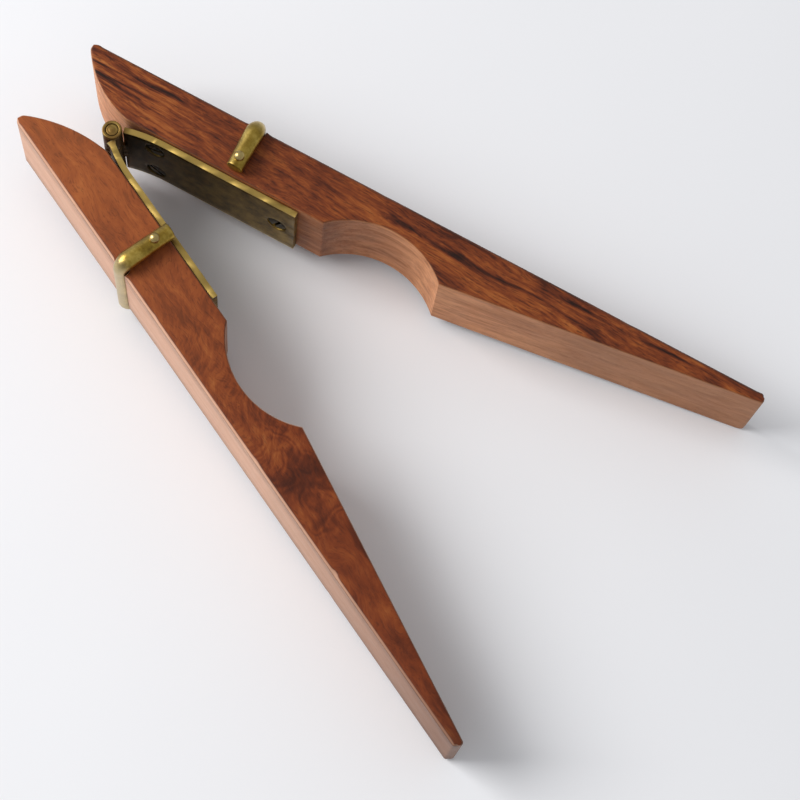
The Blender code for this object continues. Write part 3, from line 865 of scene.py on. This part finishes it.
def yoke_path(end_v):
    """Points of the rod's middle line in v and z, with the direction of travel.

    From one leg's end along v, a quarter circle, down the bar, a quarter circle and
    back. The direction is an angle that grows by half a turn.
    """
    bend_v, bend_z = YOKE_BAR_V - YOKE_BEND, YOKE_LEG_Z - YOKE_BEND
    ease = END_EASE * (1 - np.cos(np.linspace(0, math.pi / 2, 6)))
    leg = np.concatenate([end_v + ease, np.linspace(end_v + END_EASE, bend_v, 22)[1:]])
    turn = np.radians(np.linspace(0, 90, 15))
    bend = np.stack([bend_v + YOKE_BEND * np.sin(turn), bend_z + YOKE_BEND * np.cos(turn)], -1)
    bar = np.linspace(bend_z, -bend_z, 24)[1:-1]
    upper = np.stack([leg, np.full(len(leg), YOKE_LEG_Z)], -1)
    straight = np.stack([np.full(len(bar), YOKE_BAR_V), bar], -1)
    half = np.concatenate([upper, bend[1:]])
    path = np.concatenate([half, straight, half[::-1] * np.array([1.0, -1.0])])
    heading = np.concatenate([np.zeros(len(leg)), turn[1:], np.full(len(bar), math.pi / 2),
                              math.pi / 2 + turn[:-1], np.full(len(leg), math.pi)])
    return path, heading


def yoke_points(side_name):
    """Rings round the path: u by the cosine, and across the path by the sine.

    The radius shrinks in a quarter circle at both ends. The legs were hammered wider
    than the round bar, most of all before the bend, and lean a little along the lever.
    """
    path, heading = yoke_path(YOKE_END_V[side_name])
    angle = np.linspace(0, 2 * math.pi, 40, endpoint=False)
    step = np.linalg.norm(np.diff(path, axis=0), axis=1)
    run = np.concatenate([[0], np.cumsum(step)])
    to_end = np.minimum(run, run[-1] - run)
    missing = np.clip(1 - to_end / END_EASE, 0, 1)
    radius = YOKE_RADIUS - END_EASE * (1 - np.sqrt(1 - missing ** 2))
    on_leg = np.cos(heading) ** 2
    towards_bend = np.clip((path[:, 0] - END_EASE) / YOKE_BAR_V, 0, 1)
    swell = 1 + LEG_SWELL * on_leg * (0.35 + 0.65 * towards_bend)
    ripple = 0.006 * np.sin(run * 1.3)[:, None] * np.cos(angle * 2 + 0.7)
    ripple = ripple + 0.005 * np.sin(run * 2.9 + 0.5)[:, None] * np.sin(angle * 3)
    size = radius[:, None] * (1 - np.abs(ripple))
    sideways = size * np.sin(angle)
    lean = (YOKE_BAR_U[side_name] - RIVET_U[side_name]) / (YOKE_BAR_V - RIVET_V)
    middle_u = RIVET_U[side_name] + lean * (path[:, 0] - RIVET_V)
    u = middle_u[:, None] + size * np.cos(angle) * swell[:, None]
    v = path[:, :1] + sideways * np.sin(heading)[:, None]
    z = path[:, 1:] + sideways * np.cos(heading)[:, None]
    # Pale tone for the brass: partly wear and partly painted highlight on the outer side of the bends
    # and the bar, and a painted highlight along the upper leg's side that faces the window.
    wear_and_sheen = (np.sin(heading) ** 2)[:, None] * np.clip(0.35 + np.sin(angle), 0, 1)
    window_side = 0.28 * (np.cos(heading) > 0)[:, None] * np.clip(-np.cos(angle), 0, 1)
    wear_and_sheen = np.maximum(wear_and_sheen, window_side)
    return np.stack([u, v, z], axis=-1), wear_and_sheen


for side_name, side in SIDES.items():
    surface, wear_and_sheen = yoke_points(side_name)
    faces = with_caps(surface, grid_faces(*surface.shape[:2], close_columns=True))
    rod = mesh_piece(side_name + "_yoke_rod", placed(surface, side), faces, 50.0, {"wear_and_sheen": wear_and_sheen})
    fit_to_part(rod, side_name + "_side", "golden_brass_rod", [side_name + "_yoke"])

# %% [markdown]
# ## The rivets
# One rivet goes through both legs of a yoke and the lever between them. Its heads were
# set with a cupped punch, which leaves a low dome with a faint ring.

# %% Rivet surface
RIVET_RADIUS = 1.0
RIVET_HEAD_RADIUS = 1.35
RIVET_TOP = 18.4
RIVET_SEAT = 16.45

share = np.linspace(0, 1, 17)
cap = RIVET_TOP - 0.80 * share ** 2.4 - 0.05 * np.exp(-((share - 0.45) / 0.10) ** 2)
head = np.stack([cap, RIVET_HEAD_RADIUS * share], axis=-1)
neck = np.array([[RIVET_SEAT, RIVET_HEAD_RADIUS], [RIVET_SEAT, RIVET_RADIUS]])
upper_half = np.concatenate([head, neck])
rivet_profile = np.concatenate([upper_half, (upper_half * np.array([-1.0, 1.0]))[::-1]])
rivet_surface = turned(rivet_profile, 56)
for side_name, side in SIDES.items():
    surface = along_pin(rivet_surface, RIVET_U[side_name], RIVET_V)
    faces = grid_faces(*surface.shape[:2], close_columns=True)
    wear_and_sheen = np.full(surface.shape[:2], 0.4)
    piece = mesh_piece(side_name + "_rivet", placed(surface, side), faces, 50.0, {"wear_and_sheen": wear_and_sheen})
    fit_to_part(piece, side_name + "_side", "golden_brass_rod", [side_name + "_yoke_rivet"])

# %% [markdown]
# ## Finishes
# Every finish is built from the same few nodes: coordinates, noise, ramps and maths,
# then one shader. Colours are picked as sRGB hex values, as a paint chart gives them,
# and turned to the linear values that the shader works with. Pattern sizes are in
# millimetres: the Mapping node centres the pattern on the hinge pin, turns it with its
# lever, and divides by a thousandth.

# %% Colour and node helpers
def linear(code):
    """An sRGB hex colour as linear red, green and blue, with full alpha."""
    part = np.array([int(code[i:i + 2], 16) for i in (1, 3, 5)]) / 255
    low, high = part / 12.92, ((part + 0.055) / 1.055) ** 2.4
    return (*np.where(part <= 0.04045, low, high).tolist(), 1.0)


def wire(tree, node, sockets):
    """Give each socket a value, or a link from a socket or from a node's first output."""
    for key, value in sockets.items():
        if isinstance(value, bpy.types.Node):
            value = [socket for socket in value.outputs if socket.enabled][0]
        if isinstance(value, bpy.types.NodeSocket):
            tree.links.new(value, node.inputs[key])
        else:
            node.inputs[key].default_value = value


def add(tree, kind, settings=None, sockets=()):
    """Add one node with its properties; its sockets are named, or listed in order."""
    made = tree.nodes.new("ShaderNode" + kind)
    for key, value in (settings or {}).items():
        setattr(made, key, value)
    wire(tree, made, sockets if isinstance(sockets, dict) else dict(enumerate(sockets)))
    return made


def set_stops(node, stops):
    """Place the colours of a colour ramp; each stop is a place and a hex colour."""
    band = node.color_ramp
    while len(band.elements) < len(stops):
        band.elements.new(0.5)
    for element, (place, colour) in zip(band.elements, stops):
        element.position = place
        element.color = linear(colour)


TIMES = {"operation": "MULTIPLY"}
LESS = {"operation": "SUBTRACT"}
TIMES_PLUS = {"operation": "MULTIPLY_ADD"}
COLOURS = {"data_type": "RGBA"}


def new_material(name):
    """An empty node tree with one Principled shader wired to its output."""
    made = bpy.data.materials.new(name)
    made.use_nodes = True
    return made, made.node_tree, made.node_tree.nodes["Principled BSDF"]


def local_mm(tree, side):
    """Object coordinates in millimetres, from the hinge pin and along this side's lever."""
    where = add(tree, "TexCoord").outputs["Object"]
    mapping = add(tree, "Mapping", {"vector_type": "TEXTURE"},
                  {"Vector": where, "Location": tuple(HINGE * MM), "Scale": (MM, MM, MM),
                   "Rotation": (0.0, 0.0, side * HALF_OPENING)})
    return mapping.outputs["Vector"]


def noise(tree, vector, lengths, detail=3.0, rough=0.55, turn=0.0, start=(0.0, 0.0, 0.0)):
    """Noise whose lumps are about as long as the given lengths in millimetres."""
    laid = add(tree, "Mapping", {"vector_type": "TEXTURE"},
               {"Vector": vector, "Scale": lengths, "Rotation": (0.0, 0.0, math.radians(turn)),
                "Location": start})
    made = add(tree, "TexNoise", None, {"Vector": laid.outputs["Vector"], "Scale": 1.0,
                                        "Detail": detail, "Roughness": rough})
    return made.outputs["Fac"]


def swayed(tree, tone, pattern, weight):
    """The tone plus the pattern's distance from one half, times a weight."""
    centred = add(tree, "Math", LESS, (pattern, 0.5))
    return add(tree, "Math", TIMES_PLUS, (centred, weight, tone))


def lump(tree, vector, centre, reach):
    """1 at a centre, falling smoothly to 0 at the given reach along each axis."""
    laid = add(tree, "Mapping", {"vector_type": "TEXTURE"},
               {"Vector": vector, "Location": centre, "Scale": reach})
    length = add(tree, "VectorMath", {"operation": "LENGTH"}, {0: laid.outputs["Vector"]})
    run = length.outputs["Value"]
    near = add(tree, "Math", {"operation": "SUBTRACT", "use_clamp": True}, (1.0, run))
    return add(tree, "Math", {"operation": "SMOOTH_MIN"}, (near, 1.0, 0.1)), run


print("mid grey is", round(linear("#808080")[0], 3), "in linear light")

# %% [markdown]
# ## Rosewood
# Rosewood is a dense tropical hardwood: red-brown, with near-black growth lines and
# short open pores. Sawn and oiled, it has a satin surface. The two levers were cut from
# different boards. The left one shows a curly figure with two swirls round small knots,
# and the right one straight dark stripes. Solid 3-D noise is used, because the same
# grain then runs through every face, as it does in a sawn block; an image or a flat
# pattern would have to be joined at each edge.

# %% Shared parts of the wood
def pores(tree, vector):
    """Open pores: dark ticks a third of a millimetre wide and three long."""
    ticks = noise(tree, vector, (3.2, 0.34, 0.34), 3.0, 0.6, start=(3.0, 1.0, 2.0))
    return add(tree, "MapRange", None, (ticks, 0.56, 0.66))


def wander(tree, vector, lengths, amount):
    """Push the coordinates about by a slow noise, so that straight lines wander."""
    laid = add(tree, "Mapping", {"vector_type": "TEXTURE"}, {"Vector": vector, "Scale": lengths})
    slow = add(tree, "TexNoise", None, {"Vector": laid.outputs["Vector"], "Scale": 1.0, "Detail": 1.0})
    centred = add(tree, "VectorMath", {"operation": "SUBTRACT"},
                  {0: slow.outputs["Color"], 1: (0.5, 0.5, 0.5)})
    pushed = add(tree, "VectorMath", {"operation": "MULTIPLY"},
                 {0: centred.outputs["Vector"], 1: amount})
    moved = add(tree, "VectorMath", {"operation": "ADD"}, {0: vector, 1: pushed.outputs["Vector"]})
    return moved.outputs["Vector"]


def finish_wood(tree, shader, vector, colour, pale, fade, pore, pore_depth):
    """Pale the saw-cut walls, partly as painted light, paint shade on the edges, and darken
    and sink the pores.

    pale holds the pale walls' two tones and their tone at the grip. fade says where along
    the lever, in millimetres, that last tone begins and is full, and how strong it is.
    """
    sawn_and_lit = add(tree, "Attribute", {"attribute_name": "sawn_and_lit"}).outputs["Fac"]
    dark = add(tree, "Attribute", {"attribute_name": "painted_shade"}).outputs["Fac"]
    bent = wander(tree, vector, (22.0, 14.0, 9.0), (8.0, 5.0, 7.0))
    figure = noise(tree, bent, (26.0, 2.2, 2.0), 5.0, 0.66, start=(7.0, 3.0, 1.0))
    lines = add(tree, "MapRange", None, (figure, 0.30, 0.64))
    pale_tone = add(tree, "Mix", COLOURS, {0: lines, 6: linear(pale[0]), 7: linear(pale[1])})
    along = add(tree, "SeparateXYZ", None, {"Vector": vector}).outputs["X"]
    gripward = add(tree, "MapRange", None, (along, fade[0], fade[1]))
    gripward = add(tree, "Math", TIMES, (gripward, fade[2]))
    pale_tone = add(tree, "Mix", COLOURS, {0: gripward, 6: pale_tone, 7: linear(pale[2])})
    # The pale tone stands partly for the saw-cut wood and partly for painted light.
    pale_share = add(tree, "Math", TIMES, (sawn_and_lit, 0.86))
    colour = add(tree, "Mix", COLOURS, {0: pale_share, 6: colour, 7: pale_tone})
    oiled = add(tree, "Math", TIMES_PLUS, (sawn_and_lit, -0.7, 1.0))
    pore = add(tree, "Math", TIMES, (pore, oiled))
    # Painted shade on the edges, beside the leaf and at the notch, broken up by noise.
    patchy = noise(tree, vector, (7.0, 2.5, 2.5), 3.0)
    patchy = add(tree, "Math", TIMES_PLUS, (patchy, 0.9, 0.25))
    painted_shade = add(tree, "Math", TIMES, (dark, patchy))
    painted_shade = add(tree, "Math", TIMES, (painted_shade, 0.9))
    colour = add(tree, "Mix", COLOURS, {0: painted_shade, 6: colour, 7: linear("#2A140C")})
    filled = add(tree, "Math", TIMES, (pore, pore_depth))
    colour = add(tree, "Mix", COLOURS, {0: filled, 6: colour, 7: linear("#2B130B")})
    haze = noise(tree, vector, (9.0, 4.0, 4.0), 4.0)
    gloss = add(tree, "Math", TIMES_PLUS, (haze, 0.22, 0.38))
    gloss = add(tree, "Math", TIMES_PLUS, (pore, 0.2, gloss))
    fibre = noise(tree, vector, (9.0, 0.20, 0.20), 3.0)
    fibre = add(tree, "Math", TIMES, (fibre, 0.25))
    height = add(tree, "Math", LESS, (fibre, pore))
    bump = add(tree, "Bump", None, {"Height": height, "Strength": 0.3, "Distance": 0.05 * MM})
    wire(tree, shader, {"Base Color": colour, "Roughness": gloss, "Normal": bump,
                        "IOR": 1.5, "Specular IOR Level": 0.22})


# %% Reddish rosewood of the left lever
# Knots: centre and reach in millimetres, how tightly the rings turn, and their depth.
KNOTS = (((112.9, -12.0, 12.5), (10.5, 8.0, 40.0), 24.0, 0.24),
         ((99.0, -15.0, 12.5), (13.0, 9.0, 40.0), 34.0, 0.24))
# Dark patches: centre and reach in millimetres, and depth.
DARK_PATCHES = (((106.0, -12.0, 10.0), (8.0, 11.0, 30.0), 0.42),
                ((133.0, -9.5, 10.0), (14.0, 2.4, 30.0), 0.40))


def reddish_rosewood():
    """Curly red-brown rosewood with two swirling knots, under painted light that is brighter at the
    tail and darker towards the grip.

    It gives the eye soft diagonal ripples about 1 mm apart over slow changes of tone.
    """
    made, tree, shader = new_material("oiled_reddish_rosewood")
    place = local_mm(tree, SIDES["left"])
    soft = wander(tree, place, (16.0, 9.0, 12.0), (8.0, 8.0, 8.0))
    crumpled = wander(tree, soft, (5.0, 5.0, 9.0), (7.0, 7.0, 7.0))
    curl = noise(tree, soft, (0.95, 5.0, 6.0), 4.0, 0.65, turn=48.0)
    flame = noise(tree, soft, (13.0, 1.1, 5.0), 5.0, 0.65, turn=-4.0)
    clouds = noise(tree, soft, (16.0, 6.0, 12.0), 5.0, 0.6)
    mottle = noise(tree, soft, (4.5, 1.8, 3.0), 4.0, 0.62, turn=-8.0, start=(2.0, 6.0, 1.0))
    curly = lump(tree, place, (78.0, -10.0, 0.0), (46.0, 30.0, 60.0))[0]
    ripple = add(tree, "Math", TIMES_PLUS, (curly, 0.72, 0.10))
    tone = swayed(tree, 0.5, curl, ripple)
    tone = swayed(tree, tone, flame, 0.32)
    tone = swayed(tree, tone, clouds, 0.78)
    tone = swayed(tree, tone, mottle, 0.34)
    for centre, reach, turns, depth in KNOTS:
        mask, run = lump(tree, crumpled, centre, reach)
        rings = add(tree, "Math", TIMES, (run, turns))
        rings = add(tree, "Math", {"operation": "SINE"}, (rings,))
        strength = add(tree, "Math", TIMES, (mask, run))
        strength = add(tree, "Math", TIMES, (strength, depth))
        tone = add(tree, "Math", TIMES_PLUS, (rings, strength, tone))
    for centre, reach, depth in DARK_PATCHES:
        patch = lump(tree, soft, centre, reach)[0]
        tone = add(tree, "Math", TIMES_PLUS, (patch, -depth, tone))
    colour = add(tree, "ValToRGB", None, (tone,))
    set_stops(colour, [(0.16, "#2C1108"), (0.36, "#5E2810"), (0.48, "#833C19"),
                       (0.60, "#9C5023"), (0.80, "#BC7038")])
    # Painted light: warmer and lighter at the tail, darker towards the grip, a painted fall-off of the
    # window's light along the lever.
    along = add(tree, "SeparateXYZ", None, {"Vector": place}).outputs["X"]
    grip = add(tree, "MapRange", None, (along, -10.0, 95.0))
    warmer = add(tree, "Mix", COLOURS, {0: 0.40, 6: colour, 7: linear("#AA6234")})
    darker = add(tree, "Mix", COLOURS, {0: 0.42, 6: colour, 7: linear("#5A240D")})
    colour = add(tree, "Mix", COLOURS, {0: grip, 6: warmer, 7: darker})
    tip = add(tree, "MapRange", None, (along, 168.0, 184.0))
    tip = add(tree, "Math", TIMES, (tip, 0.6))
    colour = add(tree, "Mix", COLOURS, {0: tip, 6: colour, 7: linear("#33150C")})
    pale = ("#CE9E82", "#DCB094", "#6E4C3A")
    finish_wood(tree, shader, place, colour, pale, (95.0, 178.0, 0.8), pores(tree, soft), 0.34)
    return made


# %% Striped rosewood of the right lever
# Dark streaks: u, v, half length, half width and depth of tone.
STREAKS = ((79.0, 14.2, 10.0, 1.3, 0.34), (92.0, 13.6, 9.0, 1.0, 0.28), (108.0, 14.2, 16.0, 0.9, 0.22),
           (128.0, 17.0, 13.0, 0.8, 0.22), (9.0, 16.6, 12.0, 1.1, 0.26), (155.0, 16.6, 18.0, 0.7, 0.28),
           (-5.0, 15.4, 18.0, 0.6, 0.30), (-2.0, 12.6, 16.0, 0.6, 0.28))


def striped_rosewood():
    """Straight-grained rosewood: near-black lines on orange brown, a little oblique.

    It gives the eye long dark streaks 1 to 3 mm wide that fade in and out.
    """
    made, tree, shader = new_material("oiled_striped_rosewood")
    place = local_mm(tree, SIDES["right"])
    soft = wander(tree, place, (26.0, 9.0, 16.0), (9.0, 3.2, 4.0))
    rough = wander(tree, soft, (4.0, 2.0, 3.0), (3.0, 1.2, 1.5))
    broad = noise(tree, soft, (42.0, 2.0, 5.0), 3.0, 0.55, turn=-5.0)
    lines = noise(tree, soft, (26.0, 0.8, 1.6), 4.0, 0.60, turn=-5.0, start=(0.0, 4.0, 9.0))
    fine = noise(tree, rough, (6.0, 0.36, 0.5), 3.0, 0.5, turn=-6.0, start=(5.0, 4.0, 2.0))
    clouds = noise(tree, rough, (8.0, 3.5, 6.0), 4.0, 0.6, start=(9.0, 1.0, 3.0))
    tail = lump(tree, place, (-8.0, 14.0, 6.0), (34.0, 26.0, 60.0))[0]
    grip = lump(tree, place, (120.0, 14.0, 6.0), (80.0, 30.0, 60.0))[0]
    striped = add(tree, "Math", TIMES, (tail, 0.85))
    striped = add(tree, "Math", TIMES_PLUS, (grip, 0.30, striped))
    striped = add(tree, "Math", {"operation": "ADD"}, (striped, 0.22))
    weave = add(tree, "Math", LESS, (broad, 0.5))
    weave = add(tree, "Math", TIMES, (weave, 1.5))
    weave = swayed(tree, weave, lines, 0.7)
    tone = add(tree, "Math", TIMES_PLUS, (weave, striped, 0.48))
    tone = swayed(tree, tone, fine, 0.38)
    tone = swayed(tree, tone, clouds, 0.50)
    for u, v, length, width, depth in STREAKS:
        streak = lump(tree, soft, (u, v, 12.5), (length, width, 24.0))[0]
        tone = add(tree, "Math", TIMES_PLUS, (streak, -depth, tone))
    along = add(tree, "SeparateXYZ", None, {"Vector": place}).outputs["X"]
    gripward = add(tree, "MapRange", None, (along, -18.0, 70.0))
    tone = add(tree, "Math", TIMES_PLUS, (gripward, -0.03, tone))
    colour = add(tree, "ValToRGB", None, (tone,))
    set_stops(colour, [(0.20, "#240F08"), (0.34, "#502210"), (0.46, "#743618"),
                       (0.58, "#8E4A20"), (0.78, "#AA6632")])
    pale = ("#A8683C", "#E2A070", "#946646")
    finish_wood(tree, shader, place, colour, pale, (105.0, 140.0, 0.6), pores(tree, soft), 0.60)
    return made


# %% [markdown]
# ## Brass
# Brass is copper with about a third of zinc. Left in the hand for years it dulls to
# olive and brown, and stays golden only where hands wear it. The leaves are tarnished
# sheet with golden sawn rims and a painted highlight along their soft edges, and their
# faces carry painted shade towards the pin. The yokes are drawn rod that has been
# polished, with pale marks that are partly wear and partly painted highlight, and the
# screws are the darkest. All three are metals, so the colour sits in the reflection and
# the index of refraction is left alone.

# %% Aged brass
# On a leaf: heights from its middle where the painted highlight on the soft edge and the
# sawn rim begin, and distances from the pin over which the flux stain and the painted
# shade fade, in millimetres.
EDGE_HIGHLIGHT = (11.20, 11.27)
SAWN_RIM = (11.43, 11.445)
FLUX_REACH = (3.0, 5.2)
SHADE_REACH = (5.0, 38.0)


def aged_brass(name, dull, warm, bright, roughness, patch_mm, bright_share, dents, painted_light=False):
    """Brass with tarnish in patches: three tones, mottled roughness and fine scratches."""
    made, tree, shader = new_material(name)
    place = local_mm(tree, 0)
    patches = noise(tree, place, (patch_mm,) * 3, 5.0, 0.62)
    spots = noise(tree, place, (0.7, 0.7, 0.7), 3.0, 0.6, start=(4.0, 2.0, 7.0))
    level = swayed(tree, patches, spots, 0.25)
    low, high = 0.62 - bright_share, 0.92 - bright_share
    colour = add(tree, "ValToRGB", None, (level,))
    set_stops(colour, [(max(low - 0.12, 0.0), dull), (low + 0.05, warm), (high, bright)])
    if painted_light:
        flat = add(tree, "SeparateXYZ", None, {"Vector": place}).outputs
        from_middle = add(tree, "Math", {"operation": "ABSOLUTE"}, (flat["Z"],))
        arris_highlight = add(tree, "MapRange", None, (from_middle, *EDGE_HIGHLIGHT))
        rim = add(tree, "MapRange", None, (from_middle, *SAWN_RIM))
        plan = add(tree, "CombineXYZ", None, {"X": flat["X"], "Y": flat["Y"]})
        run = add(tree, "VectorMath", {"operation": "LENGTH"}, (plan,)).outputs["Value"]
        near_pin = add(tree, "MapRange", None, (run, *FLUX_REACH))
        near_pin = add(tree, "Math", LESS, (1.0, near_pin))
        # Painted shade: the leaf's face, the knuckles and the pin darken towards the pin, where they
        # face the shadowed gap between the levers.
        far = add(tree, "MapRange", None, (run, *SHADE_REACH))
        pin_shade = add(tree, "Mix", COLOURS, {0: 0.75, 6: colour, 7: linear("#2B2415")})
        face = add(tree, "Mix", COLOURS, {0: far, 6: pin_shade, 7: colour})
        golden = add(tree, "Mix", COLOURS, {0: 0.82, 6: colour, 7: linear("#B69A56")})
        # Painted highlight: a pale line along the leaf's soft edges.
        face = add(tree, "Mix", COLOURS, {0: arris_highlight, 6: face, 7: linear("#F2DFA0")})
        colour = add(tree, "Mix", COLOURS, {0: rim, 6: face, 7: golden})
        flux = add(tree, "MapRange", None, (patches, 0.30, 0.55))
        flux = add(tree, "Math", TIMES, (near_pin, flux))
        flux = add(tree, "Math", TIMES, (flux, 0.8))
        colour = add(tree, "Mix", COLOURS, {0: flux, 6: colour, 7: linear("#6E4E2A")})
    # The pale tone here is partly wear and partly painted highlight, as the mesh's wear_and_sheen gives
    # it.
    wear_and_sheen = add(tree, "Attribute", {"attribute_name": "wear_and_sheen"}).outputs["Fac"]
    wear_and_sheen = add(tree, "Math", TIMES, (wear_and_sheen, 0.7))
    colour = add(tree, "Mix", COLOURS, {0: wear_and_sheen, 6: colour, 7: linear("#D2C4A2")})
    haze = add(tree, "Math", TIMES_PLUS, (patches, -0.16, roughness + 0.08))
    haze = add(tree, "Math", TIMES_PLUS, (spots, 0.10, haze))
    scratch = noise(tree, place, (9.0, 0.16, 0.16), 2.0, 0.5, turn=25.0)
    scratch = add(tree, "Math", TIMES, (scratch, 0.35))
    marks = add(tree, "Math", TIMES_PLUS, (patches, dents, scratch))
    bump = add(tree, "Bump", None, {"Height": marks, "Strength": 0.35, "Distance": 0.05 * MM})
    wire(tree, shader, {"Base Color": colour, "Metallic": 1.0, "Roughness": haze, "Normal": bump})
    return made


finishes = {
    "reddish_rosewood": reddish_rosewood(),
    "striped_rosewood": striped_rosewood(),
    "aged_brass_leaf": aged_brass("tarnished_sheet_brass", "#624E28", "#8A7038", "#AA9050",
                                  0.42, 5.0, 0.12, 0.08, painted_light=True),
    "golden_brass_rod": aged_brass("drawn_brass_rod", "#7A6026", "#A08438", "#CCB05A",
                                   0.30, 4.0, 0.20, 0.12),
    "tarnished_brass_screw": aged_brass("blackened_brass_screw", "#231B0F", "#463A20", "#73643A",
                                        0.40, 1.6, 0.08, 0.5),
}

# %% Floor finish
paper, tree, shader = new_material("matt_white_card")
place = add(tree, "TexCoord").outputs["Object"]
fleck = add(tree, "TexNoise", None, {"Vector": place, "Scale": 9.0, "Detail": 3.0})
white = add(tree, "Mix", COLOURS, {0: fleck.outputs["Fac"], 6: linear("#EBEBED"), 7: linear("#EFEFF1")})
wire(tree, shader, {"Base Color": white, "Roughness": 0.7, "Specular IOR Level": 0.25})
floor.data.materials.append(paper)

# %% Pale surround
surround = bpy.data.worlds.new("pale_surround")
surround.use_nodes = True
sky = surround.node_tree
upwards = add(sky, "SeparateXYZ", None, {0: add(sky, "TexCoord").outputs["Generated"]})
band = add(sky, "ValToRGB", None, {"Fac": upwards.outputs["Z"]})
low, high = band.color_ramp.elements
low.position, low.color = 0.45, (0.76, 0.79, 0.84, 1.0)
high.position, high.color = 0.88, (0.80, 0.80, 0.80, 1.0)
wire(sky, sky.nodes["Background"], {"Color": band, "Strength": 0.59})
bpy.context.scene.world = surround
print("the surround turns from cool to plain white between", round(low.position, 2), "and",
      round(high.position, 2))

# %% Put the finishes on
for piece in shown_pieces():
    piece.data.materials.clear()
    piece.data.materials.append(finishes[piece["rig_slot"]])
print("finishes:", sorted(finishes))
